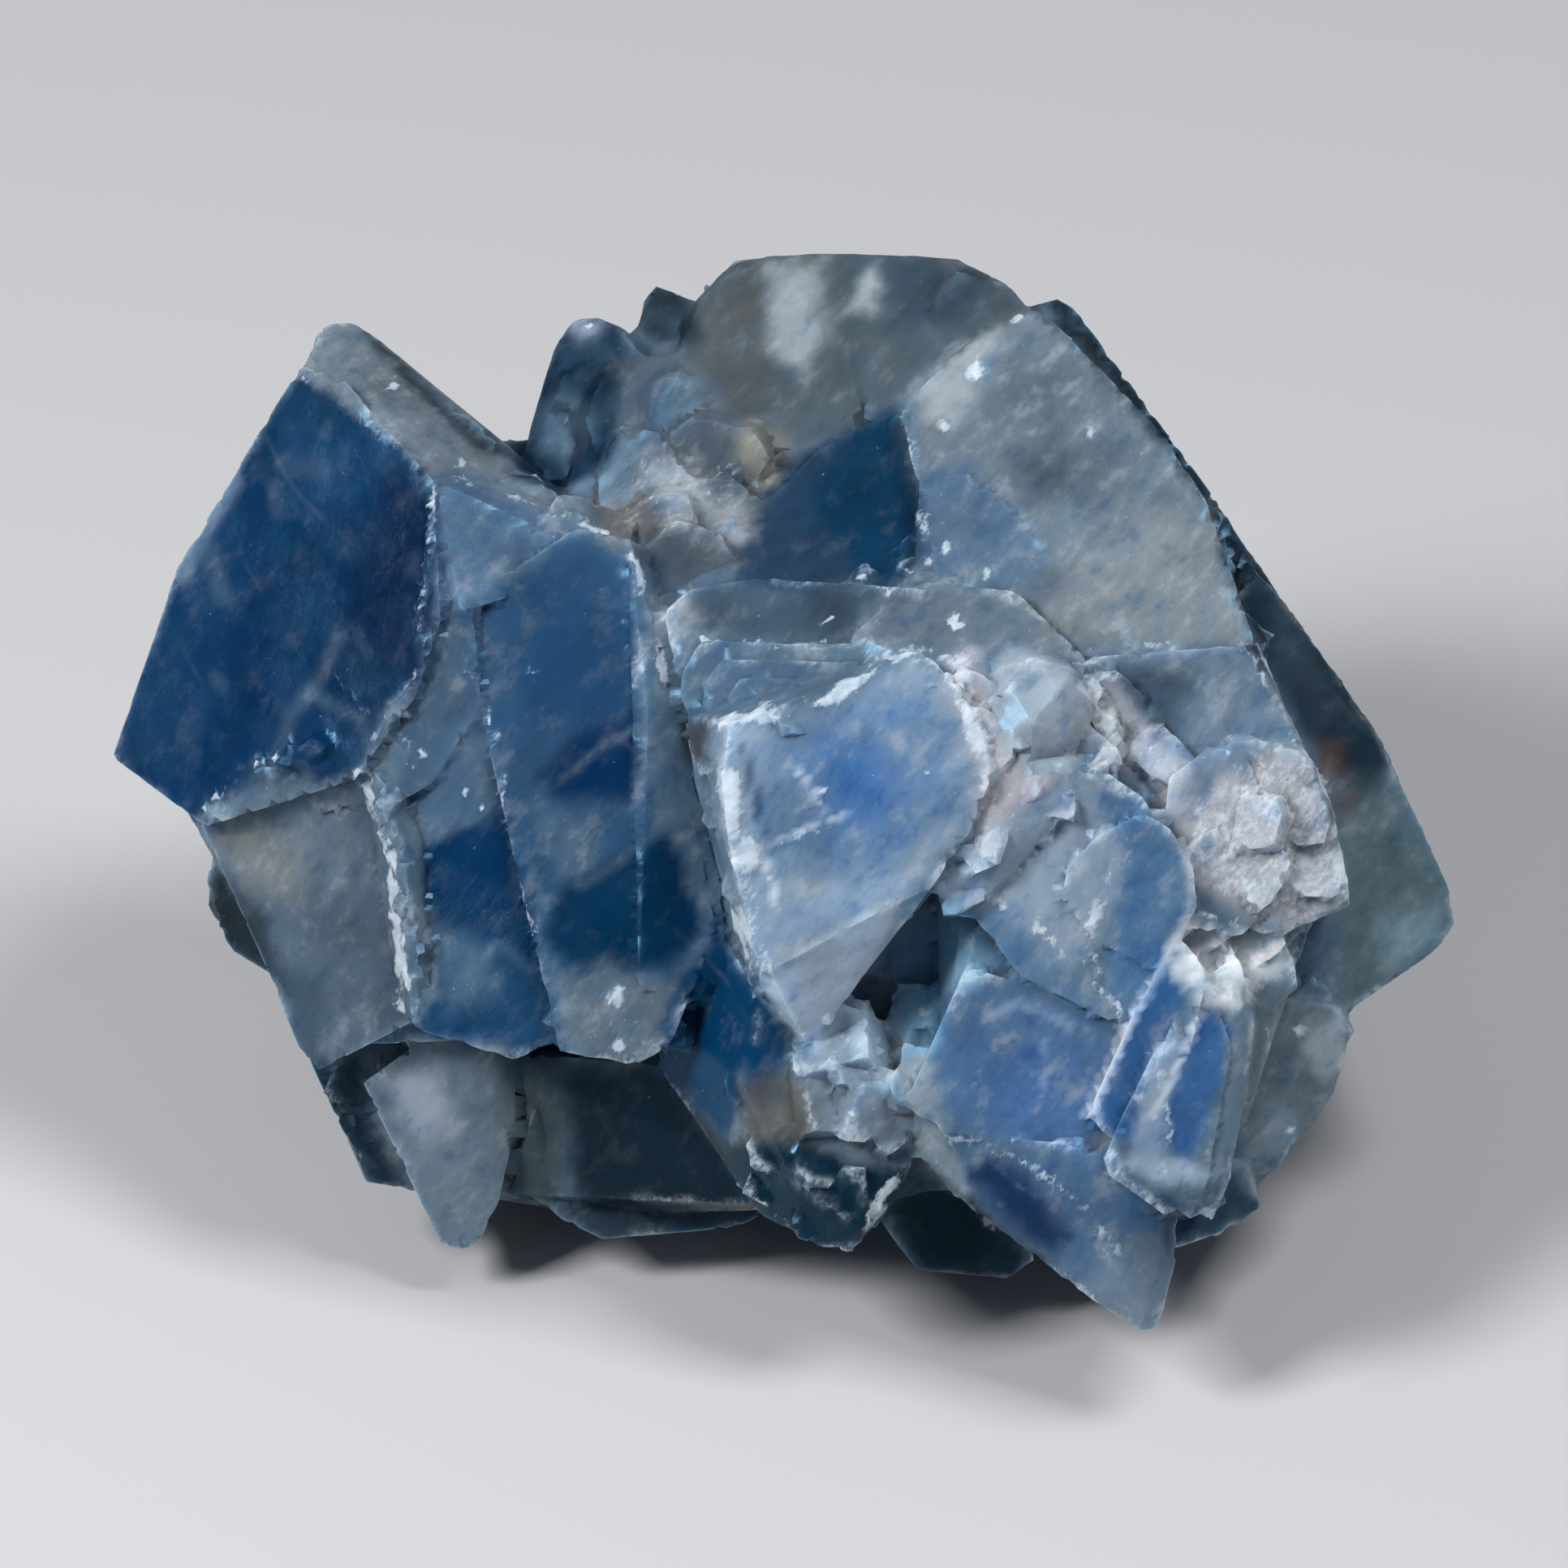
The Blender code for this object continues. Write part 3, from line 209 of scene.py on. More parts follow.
# Each patch of colour: name, colour, width of its soft edge, strength, outline
PAINT = [
    ("slab", (0, 0.2, 0.38), 0.3, 1, [(-30.2, 1.2), (-28, 6.6), (-26.9, 9.8), (-24.2, 14), (-21.6, 18.2),
     (-19.5, 17), (-15.5, 13.6), (-15.1, 7), (-16.4, 4.4), (-18.2, 2.6), (-19, 0.2), (-21.8, 0.4),
     (-23.2, 1.2), (-24.2, 0), (-25.4, -0.9), (-26.6, -1.8)]),
    ("slab_dark", (0, 0.1, 0.27), 1.7, 1, [(-18.3, 13.6), (-16.6, 13.8), (-15.2, 12.8), (-15, 7), (-16.4, 5),
     (-18.8, 6.2), (-19.4, 9)]),
    ("slab_top", (0.07, 0.26, 0.41), 2, 0.7, [(-22.4, 18), (-20.2, 17.4), (-16.6, 14.6), (-19, 14),
     (-23.8, 14)]),
    ("slab_left", WINDOW, 1.6, 0.5, [(-30.4, 1), (-27.6, 8.5), (-25, 13.4), (-24.4, 10), (-25.8, 5),
     (-26.8, 1), (-26.9, -1.6)]),
    ("slab_foot", (0.12, 0.26, 0.4), 0.7, 0.5, [(-25.6, -0.4), (-23.4, 1.6), (-21.6, 1.2), (-19.2, 1.4),
     (-18.4, 3), (-17.8, 2.2), (-19, -0.2), (-23, -0.6)]),
    ("slope", (0.43, 0.48, 0.52), 0.4, 1, [(-22, 18.8), (-20.8, 20.6), (-19.2, 20.9), (-17.4, 19),
     (-14.6, 15.9), (-11.4, 13.9), (-8.6, 11.9), (-10.6, 12), (-14.4, 14.2), (-15.4, 13.5), (-18, 15.8),
     (-20.8, 17.7)]),
    # Painted shade: a dark strip where shadow falls along the back edge of the slope
    ("slope_painted_shade", (0.05, 0.12, 0.17), 0.5, 0.9, [(-18.9, 20.8), (-17.6, 19.8), (-14.6, 16.4), (-11.4, 14.2),
     (-13.6, 14.8), (-16.9, 17.9)]),
    ("slope_low", (0.34, 0.44, 0.55), 0.5, 1, [(-15.3, 13.4), (-14, 13.4), (-9.2, 11.5), (-9.5, 10.6),
     (-13, 9.2), (-14.4, 7.2), (-15.3, 7.2)]),
    ("step_top", STEEL, 0.5, 0.9, [(-15.2, 7.6), (-14.2, 7.2), (-13, 3), (-12, -1), (-13, -2), (-16, -2.9),
     (-16.9, 0), (-17.4, 2.6), (-16.2, 4.8)]),
    ("step_low", WINDOW, 0.5, 1, [(-16.2, -2.8), (-12, -1.6), (-10.4, -8.6), (-9.8, -12), (-12, -12.6),
     (-16.4, -11)]),
    ("step_blue", DEEP, 0.3, 1, [(-16, -3), (-13.2, -1.4), (-12.3, -0.7), (-11.6, -4), (-10.7, -8),
     (-11.4, -8), (-12.6, -6.9), (-15.4, -6.2), (-15.9, -4.6)]),
    ("step_haze", HAZE, 0.8, 0.6, [(-15.8, -6), (-13, -7.4), (-12.8, -9.2), (-14.8, -10)]),
    ("window", (0.23, 0.37, 0.51), 0.4, 1, [(-14.4, 7.6), (-9.2, 11), (-7, 10.5), (-6.2, 8), (-5.9, 3),
     (-6, 0), (-5.6, -2), (-3.2, -2), (-3, -6.4), (-5, -8.6), (-9.8, -9), (-10.6, -7), (-11.8, -2.4),
     (-13.4, 3.4)]),
    ("window_core", (0.02, 0.24, 0.42), 1.7, 0.6, [(-11.5, 8.8), (-7.6, 9.4), (-6.4, 5), (-7, 2),
     (-11.8, 2.2), (-12.6, 5)]),
    ("window_band", (0, 0.2, 0.4), 0.6, 1, [(-9.2, 2.2), (-6.1, 3.2), (-6, -0.6), (-10, -0.8), (-10.6, 0.4)]),
    ("window_haze", (0.2, 0.36, 0.5), 0.5, 0.6, [(-12.2, -1.2), (-9.8, -1), (-6.2, -1.4), (-5.4, -2),
     (-9.8, -4.6), (-11.4, -4.6)]),
    ("window_cloud", HAZE, 0.5, 0.6, [(-11, -1), (-9.4, -1), (-8.2, -2.8), (-8.6, -4.6), (-10, -4.2)]),
    ("window_deep", (0, 0.21, 0.36), 0.4, 1, [(-9.8, -4.6), (-4.8, -1.5), (-3.5, -1.9), (-3.1, -4.6),
     (-3.6, -6.4), (-6, -8.4), (-9, -8.4), (-10.4, -6.8)]),
    ("window_foot", (0.37, 0.43, 0.48), 0.7, 0.9, [(-9.4, -8.6), (-7.8, -8), (-6, -9), (-4.8, -10.4),
     (-5.4, -12.6), (-8.6, -12.6), (-10, -10.6)]),
    ("side_strip", (0.34, 0.44, 0.53), 0.35, 0.8, [(-6.9, 10.8), (-5.8, 9.8), (-4.8, 5.6), (-4.2, 1.6),
     (-3.2, -2.4), (-2.2, -7), (-1, -9.8), (-2.6, -9.4), (-3.5, -6.6), (-5.2, -1.4), (-6.1, 0), (-6, 3)]),
    ("pale_block", (0.34, 0.41, 0.47), 0.4, 1, [(-25.6, -2.2), (-22.8, -0.1), (-18.6, 0.2), (-17.2, -3.6),
     (-16.6, -10.4), (-20.7, -12.9), (-21.8, -11.4), (-22.8, -7.6), (-24.4, -4.6)]),
    ("pale_top", (0.44, 0.5, 0.55), 0.9, 0.4, [(-23.4, -0.4), (-19, 0), (-18.2, -4.4), (-20.4, -4.8),
     (-22.8, -2.6)]),
    ("cream_corner", (0.54, 0.52, 0.47), 1.2, 0.5, [(-25.8, -2.2), (-23.6, -1.6), (-21.2, -3), (-21.6, -5.2),
     (-24, -4.6)]),
    ("block_edge", (0.25, 0.31, 0.37), 0.6, 0.6, [(-22.6, -7.6), (-20.4, -9), (-20.2, -12.4),
     (-21.4, -12.6)]),
    ("ridge_side", HAZE, 0.3, 0.9, [(-16.9, -1), (-16.2, -1.6), (-15.2, -9.4), (-16.6, -10.8)]),
    ("left_lobe", (0.15, 0.17, 0.17), 0.6, 0.9, [(-26.2, -5.4), (-25.4, -3.6), (-23.2, -6), (-22.2, -9.2),
     (-25, -7.4)]),
    ("dark_corner", (0, 0.11, 0.18), 0.5, 0.9, [(-21.6, -12.6), (-18.8, -12.1), (-18.5, -15), (-16.4, -17.4),
     (-17, -18.6), (-18.4, -18), (-20.2, -15.6)]),
    ("tooth", (0.43, 0.49, 0.54), 0.6, 1, [(-18.8, -12.6), (-16.6, -11.4), (-12.4, -11.6), (-12.2, -15.6),
     (-12.4, -18.4), (-13.4, -21), (-14.6, -21.2), (-15.8, -20), (-17.6, -16.6)]),
    ("tooth_bright", PALE, 0.7, 0.7, [(-17.6, -13), (-15.6, -13), (-14.8, -15), (-15.6, -16),
     (-17.2, -14.6)]),
    ("rib", OLIVE, 0.8, 0.9, [(-12.4, -11.8), (-9.8, -12.2), (-9.6, -17.2), (-10.4, -19.2), (-12.2, -18.2)]),
    ("dark_window", ABYSS, 0.7, 1, [(-9.9, -12.4), (-5.6, -12.4), (-4.6, -13.4), (-2.2, -16.6), (-0.8, -19.2),
     (-6, -19.6), (-9.2, -18.8)]),
    ("window_rim", SLATE, 0.5, 0.8, [(-10.2, -18.8), (-1, -19.2), (-1, -20.4), (-8.4, -20.9)]),
    ("wedge_blue", (0.02, 0.29, 0.47), 0.4, 1, [(-4.9, -9.4), (-3, -6.2), (-1.8, -8.4), (0.3, -11),
     (0, -12.6), (-2.6, -15.6), (-5.6, -12.6)]),
    ("wedge_low", (0.02, 0.19, 0.27), 0.5, 1, [(-2.6, -15.8), (1, -15.6), (3.6, -16.8), (6, -17), (4.8, -19),
     (3, -21), (1, -20.6), (-1.8, -18.8)]),
    ("wedge_pale", (0.46, 0.52, 0.58), 0.5, 0.9, [(0, -12.4), (2, -10.4), (4, -12.8), (5.2, -15), (5, -16.4),
     (2.6, -16.8), (0.4, -14)]),
    ("wedge_stain", (0.4, 0.38, 0.34), 0.7, 0.8, [(-2.1, -13.1), (0, -12.6), (1.6, -14), (1.2, -15.8),
     (-1.7, -15.9)]),
    ("nose", (0.48, 0.55, 0.62), 0.4, 1, [(-3.1, 0.2), (-2.7, 2.5), (0, 2.8), (2.4, 3.5), (5.6, 5.6),
     (7.4, 4.2), (8.7, 1), (8.3, -1.6), (6.5, -4), (3.7, -5.8), (0, -7), (-1.2, -8.6), (-2, -6)]),
    ("nose_blue", (0.39, 0.5, 0.62), 1, 1, [(-0.8, 1.6), (1.8, 3), (4.8, 4.6), (6, 3.8), (7.4, 1.2),
     (7.6, -1), (5.2, -3.2), (2.4, -4.2), (0.2, -3.2), (-1.2, -2.6), (-1, 0)]),
    ("nose_core", AZURE, 1.8, 0.8, [(1.8, 1.8), (3.2, 1.6), (4.6, 0.2), (4.6, -1.2), (3, -1.8), (2, -0.9)]),
    ("nose_low", SKY, 0.5, 0.7, [(-1.6, -7.2), (0, -5.4), (3, -4.4), (6.4, -3.8), (5, -5.4), (1.4, -6.4),
     (0, -8.2), (-0.8, -8.8)]),
    ("chin", (0.78, 0.85, 0.93), 0.5, 0.9, [(-0.9, -8.8), (1.4, -7), (3.6, -5.8), (5.2, -5.6), (4.4, -7.4),
     (3, -9.2), (1.2, -11.6)]),
    ("ledge", (0.33, 0.42, 0.51), 0.4, 0.9, [(-4.8, 4.6), (-3.6, 6), (1, 5.8), (3.2, 5.2), (2, 3.8),
     (-1.6, 3.2), (-4.2, 2.8)]),
    ("ledge_light", STEEL, 0.5, 0.7, [(-2.8, 5.4), (1.6, 5.2), (1.6, 4.4), (-2.6, 4.4)]),
    ("upper_ledge", (0.27, 0.34, 0.41), 0.5, 0.8, [(-5, 7.6), (-3.6, 8.9), (0, 9.2), (2.4, 8.4), (3, 6.6),
     (1, 6.3), (-2.8, 6.4)]),
    ("behind_nose", (0.4, 0.45, 0.5), 0.5, 0.8, [(3, 6.4), (4, 8.6), (8.6, 8.4), (11, 7.2), (12.6, 5.8),
     (9, 5.8), (6, 6.1)]),
    ("ledge_dark", SLATE, 0.5, 0.6, [(1, 8.8), (4.2, 8.6), (3, 7.2), (1, 7.4)]),
    ("ledge_corner", (0.62, 0.62, 0.61), 0.5, 0.6, [(-5.8, 8), (-4.4, 8.2), (-3.8, 7.4), (-4.8, 6.6),
     (-5.6, 7)]),
    ("brown_crumb", (0.3, 0.27, 0.25), 0.4, 0.8, [(-4.7, 3), (-3.3, 2.8), (-3.3, 1), (-4.4, 1.1)]),
    ("dome", (0.55, 0.6, 0.64), 0.4, 1, [(8.4, 4.8), (10, 6), (12, 5.6), (13.6, 4), (13.8, 2.2), (12.8, 0.7),
     (10.4, 0.8), (8.8, 2.4)]),
    ("saddle", (0.61, 0.61, 0.64), 0.5, 1, [(7.2, 5.6), (8.6, 6), (9, 2.8), (10.4, 0.8), (12, 0.4),
     (10, -1.4), (8.8, -3.4), (8.3, -1), (8.6, 1), (7.6, 3.4)]),
    ("saddle_low", (0.58, 0.66, 0.75), 0.5, 0.8, [(6.6, -4), (8.4, -2.6), (9.4, -3.2), (8.8, -5.2),
     (7.4, -5.4)]),
    ("furrow", (0.62, 0.63, 0.66), 0.5, 0.9, [(13, 4.6), (14.6, 4.8), (16.2, 2.6), (18, 0.4), (17.6, -2.2),
     (15.6, 0.2), (13.8, 1.2)]),
    ("veined", (0.5, 0.56, 0.63), 0.5, 0.9, [(9, -2.4), (10.6, -0.8), (12.8, 0.4), (15.4, 0), (16.8, -1.6),
     (14.8, -4.4), (13, -8), (11, -8.6), (8.6, -5.6)]),
    ("veined_grey", MIST, 0.8, 0.6, [(9.4, -3), (11.4, -1.6), (12.6, -3.6), (11.4, -6), (9.6, -5.2)]),
    ("veined_blue", (0.32, 0.46, 0.6), 0.4, 1, [(13.8, -0.4), (15.8, -0.6), (17.2, -2.8), (17.6, -5.2),
     (16.6, -7.6), (15.2, -10.4), (14, -9.4), (14.4, -6.4), (15, -3.4)]),
    ("veined_low", (0.36, 0.48, 0.6), 0.5, 0.9, [(8.4, -5.2), (11, -6.6), (14.8, -10.6), (13, -10.4),
     (10, -9.2), (7.4, -6)]),
    ("hollow", (0.46, 0.62, 0.72), 0.5, 1, [(5.4, -5), (7.4, -5.4), (9.2, -8), (8.4, -9), (7.2, -11.4),
     (6, -12), (4.8, -10), (4.6, -7.4)]),
    ("hollow_grey", (0.62, 0.7, 0.76), 0.5, 0.8, [(2.8, -9.6), (4.6, -8.8), (5.4, -11.6), (4.8, -13.6),
     (3.2, -12)]),
    ("face", (0.34, 0.46, 0.61), 0.4, 1, [(7, -9.2), (9, -8.8), (11, -9.4), (14.6, -10.6), (15.6, -12.4),
     (13.4, -15.4), (14.6, -17.2), (11, -15.9), (8, -15.5), (6.4, -13.6)]),
    ("face_low", AZURE, 1.2, 0.35, [(8, -12), (12.6, -12), (13.6, -14.6), (9, -15)]),
    ("post", (0.48, 0.54, 0.58), 0.4, 1, [(4.9, -12.4), (6.4, -11.6), (6.8, -14.4), (7.6, -16.2),
     (8.8, -18.6), (7.4, -18.2), (5.4, -15.6)]),
    ("tip", (0.33, 0.45, 0.58), 0.6, 1, [(7.6, -15.6), (12, -16.2), (15.4, -17.4), (17.6, -18), (17, -22),
     (14, -22.6), (11, -20.6), (8.4, -18.4)]),
    ("tip_dark", (0, 0.18, 0.4), 0.6, 1, [(9, -16.4), (10.6, -17.2), (12.6, -19.8), (11.8, -20.8), (9.6, -19),
     (8.2, -17.4)]),
    ("tip_pale", (0.45, 0.52, 0.58), 0.7, 0.9, [(14.2, -20.4), (17, -19.4), (17.8, -21), (16.4, -24.6),
     (15.2, -24), (13.2, -22.2)]),
    ("first_fin", (0.22, 0.4, 0.6), 0.3, 1, [(16.6, -7), (17.6, -9.4), (16, -13), (15.4, -15.8), (13.4, -15),
     (15, -10.8)]),
    ("fin_pale", SKY, 0.35, 0.9, [(16.2, -11.6), (17.4, -11.2), (17.4, -14), (16.6, -17), (15, -16.6),
     (15.6, -14)]),
    ("second_fin", (0.26, 0.43, 0.63), 0.3, 1, [(18.2, -10), (19.7, -10.6), (18.9, -14), (17.9, -16.8),
     (16.6, -15.6), (17.4, -12.6)]),
    ("fin_feet", (0.6, 0.67, 0.74), 0.4, 0.9, [(14.8, -16.6), (16.8, -17.8), (18.8, -19.6), (19.2, -17.6),
     (18, -16.6), (16, -16.2)]),
    ("fin_shoulder", CHALK, 0.5, 0.9, [(17.6, -6), (19.6, -6.8), (22.2, -6.4), (21.6, -8.6), (20, -9.8),
     (18.4, -9.6), (17.3, -8)]),
    ("fin_side", HAZE, 0.5, 0.8, [(19.8, -10), (22.2, -7.6), (21.4, -11), (20.6, -14), (19.8, -18.6),
     (18.9, -18.4), (19.8, -12)]),
    ("frosted", (0.61, 0.62, 0.65), 0.5, 1, [(17.9, -0.6), (20.4, 1.8), (22.8, 1.6), (24.2, -1.6), (25, -5.2),
     (22.6, -6.4), (20.4, -5.9), (17.8, -4.3), (17.3, -2)]),
    ("striated", (0.43, 0.5, 0.58), 0.4, 0.9, [(13.7, 5.7), (16, 6), (20.8, 5.9), (21.6, 3.4), (20.4, 0.6),
     (18, 0.6), (16.4, 2)]),
    ("striated_dark", SLATE, 0.7, 0.7, [(14.2, 5), (17.8, 5.2), (18.2, 4), (16.6, 2.4)]),
    ("pale_face", (0.42, 0.47, 0.51), 0.4, 1, [(5.5, 16.4), (7.2, 19.8), (10.2, 21.9), (11.4, 21.4),
     (14.2, 18.6), (17.2, 15.2), (18.9, 12.4), (20, 9), (20.9, 6.2), (12, 6.2), (11, 7.6), (6, 8.8),
     (5.8, 12)]),
    ("face_band", SLATE, 1.4, 0.55, [(10.2, 14.6), (15.2, 15), (14.6, 13.4), (11, 12.4)]),
    ("face_top_band", SLATE, 1, 0.3, [(9.4, 18.8), (13, 18), (12, 16.4), (8.6, 16.2)]),
    ("face_white", (0.57, 0.6, 0.61), 0.9, 0.75, [(5.9, 17.6), (7.2, 19.6), (8.8, 20.6), (9.8, 19.4),
     (8.4, 17.4), (6.6, 15.6)]),
    ("face_foot", (0.49, 0.52, 0.54), 0.9, 0.8, [(10.8, 7.2), (13.2, 9.6), (16.6, 12), (19, 11.6),
     (20.8, 6.4), (12.4, 6.2)]),
    ("blue_lobe", (0.36, 0.45, 0.54), 0.5, 1, [(5.8, 14), (8, 14.3), (10.4, 12.2), (11.6, 9.8), (11.2, 8.4),
     (8.4, 8.7), (5.9, 9.4)]),
    ("cavity", (0.18, 0.29, 0.4), 0.4, 1, [(-2.6, 10.4), (-0.2, 14.4), (3, 15.7), (4.9, 16.8), (5.4, 14.4),
     (6, 12), (5.8, 9.3), (0.4, 8.5), (-1.8, 8.8)]),
    ("cavity_dark", (0.06, 0.25, 0.39), 0.7, 1, [(3, 15.9), (4.9, 16.8), (5.4, 14), (6, 12), (5.8, 9.1),
     (4, 8.6), (1.8, 11), (1.2, 13)]),
    ("crown", (0.32, 0.36, 0.38), 0.5, 1, [(-4.2, 21.4), (-2.4, 24), (1, 24.3), (7.8, 24), (11.2, 21.2),
     (8, 19.6), (5.2, 17), (1.6, 15.3), (-0.6, 15), (-2.4, 16.8), (-4.6, 19)]),
    ("crown_warm", (0.34, 0.32, 0.29), 1.1, 0.7, [(-4.2, 22), (-1, 22.4), (-0.4, 18), (-1.6, 15.8),
     (-3.6, 18)]),
    ("crown_white", (0.55, 0.58, 0.6), 0.8, 0.9, [(-0.7, 23.4), (1.6, 23.4), (2, 20), (1, 18.2),
     (-0.7, 19.4)]),
    ("crown_flash", (0.56, 0.6, 0.61), 0.5, 0.9, [(2.6, 21), (3.4, 22.8), (4.4, 23.4), (4, 21)]),
    ("crown_dark", SLATE, 0.7, 0.7, [(4.8, 24), (9.4, 22.8), (7.6, 20.4), (4.8, 20.4)]),
    ("crown_tan", TAN, 0.6, 0.7, [(-1.4, 15.6), (0.2, 15.6), (0.4, 14.4), (-1, 14.2)]),
    ("knob", (0, 0.12, 0.23), 0.4, 1, [(-12.2, 13.8), (-11.8, 16.4), (-10.4, 20), (-9, 21.4), (-7.4, 20.8),
     (-6.7, 18), (-7.8, 14.4), (-10, 12.8)]),
    ("knob_haze", (0.34, 0.43, 0.5), 0.9, 0.8, [(-11, 16.6), (-9.8, 17.4), (-8.4, 16.4), (-9.4, 14.6),
     (-10.8, 15)]),
    ("knob_white", (0.55, 0.59, 0.66), 0.5, 0.8, [(-9.8, 20.5), (-9, 21.2), (-8.1, 20.9), (-8.4, 20.1),
     (-9.1, 19.8)]),
    ("knob_strip", (0.2, 0.3, 0.42), 0.5, 0.8, [(-7.2, 19.6), (-6, 19.6), (-6.4, 16.6), (-7.4, 16)]),
    ("small_knob", (0.11, 0.13, 0.14), 0.5, 1, [(-7, 20.8), (-6.2, 22.8), (-4.4, 22.4), (-3.8, 20),
     (-5.6, 19.4)]),
    ("shoulder", (0.35, 0.39, 0.43), 0.6, 1, [(-7.6, 18.8), (-5, 19.6), (-2.6, 17), (-0.4, 14.6), (-1, 12.4),
     (-2, 9.6), (-4.6, 9), (-7.8, 10.6), (-9, 12.6), (-7, 14.6)]),
    ("shoulder_dark", STEEL, 0.9, 0.7, [(-7, 18), (-5.2, 18.4), (-4.4, 16), (-6.4, 15)]),
    ("shoulder_pale", (0.45, 0.48, 0.51), 0.9, 0.9, [(-6.4, 14.4), (-4.4, 14.6), (-2.6, 12.2), (-3.6, 11),
     (-6, 12.2)]),
    ("shoulder_light", (0.6, 0.62, 0.64), 0.8, 0.85, [(-5.8, 13.8), (-4, 14.2), (-3.4, 12.4), (-5, 11.6)]),
    ("shoulder_gleam", (0.6, 0.62, 0.64), 0.6, 0.85, [(-3, 12.2), (-1.9, 12.6), (-1.5, 10.8), (-2.8, 10.6)]),
    ("shoulder_tan", TAN, 0.8, 0.6, [(-8.2, 12.6), (-6.4, 12.8), (-5.6, 11.4), (-7.4, 11)]),
    ("shoulder_cream", (0.54, 0.53, 0.48), 0.6, 0.9, [(-2, 15.8), (-1.2, 16.1), (-0.5, 14.9), (-0.4, 13.4),
     (-1.2, 13.1), (-1.9, 14.4)]),
    ("back_rim", (0.05, 0.09, 0.11), 0.4, 0.9, [(11, 21.8), (12.6, 22), (15.8, 18), (19.2, 13.2),
     (18.6, 12.6), (14.3, 18.4)]),
    ("flank", (0.11, 0.18, 0.23), 0.5, 1, [(18.9, 13), (21.8, 9.8), (25, 5), (27.4, 1.6), (26, -2), (24.6, 0),
     (22.8, 2.8), (21, 6), (19.9, 9.4)]),
    ("flank_pale", (0.27, 0.33, 0.38), 0.8, 0.8, [(21.8, 8.4), (23.4, 6.6), (24.8, 3.2), (23.8, 2.6),
     (22.2, 4.8)]),
    ("flank_blue", (0, 0.08, 0.15), 0.9, 1, [(19.4, 12), (20.6, 10.8), (21.4, 6), (20.4, 7)]),
    ("corner", (0.38, 0.46, 0.48), 1.2, 1, [(24.6, 0), (27.6, 0), (28.8, -2.2), (30.4, -6), (29.6, -7.8),
     (26.8, -9.6), (24.8, -10), (24.6, -5.6)]),
    ("corner_pale", (0.52, 0.63, 0.68), 1, 0.7, [(26.4, -6), (29, -5.4), (29.6, -7), (27, -8.8)]),
    ("rust_spot", RUST, 0.6, 0.7, [(23.6, 1.8), (24.8, 1.8), (25.2, 0.4), (24, 0.2)]),
    ("rust_crumb", RUST, 0.5, 0.5, [(24.4, -0.4), (25.4, -0.4), (25.2, -1.4), (24.4, -1.2)]),
    ("lobes", (0.42, 0.48, 0.51), 0.7, 1, [(20.8, -9), (24.4, -9.8), (25.6, -12), (24.8, -14), (22.8, -16.6),
     (20.4, -17.6), (20.3, -13)]),
    ("lobe_light", PALE, 0.5, 0.7, [(23.2, -10.4), (24.9, -10.6), (25.2, -12.6), (24, -13.2), (23, -12)]),
    ("lobe_spot", MIST, 0.6, 0.7, [(21, -14.4), (23, -14.2), (22.8, -16), (21, -16.4)]),
    ("lobe_dark", STEEL, 0.6, 0.6, [(21.6, -12), (23.2, -12.2), (23, -13.4), (21.8, -13.4)]),
    ("under_lobe", (0.2, 0.3, 0.38), 0.6, 0.8, [(16, -17.6), (20.6, -17.4), (21.4, -19), (17.4, -21)]),
    ("under_ledge", (0.04, 0.15, 0.19), 0.5, 1, [(4.6, -18.8), (6, -22), (10, -22.6), (11.4, -21.2),
     (8.8, -18.8), (6, -17)]),
]

# Tones of the flat sides that the viewer can't see
BACK_TONES = [DEEP, HAZE, STEEL, MIST, WINDOW, PALE, STEEL, MIST]

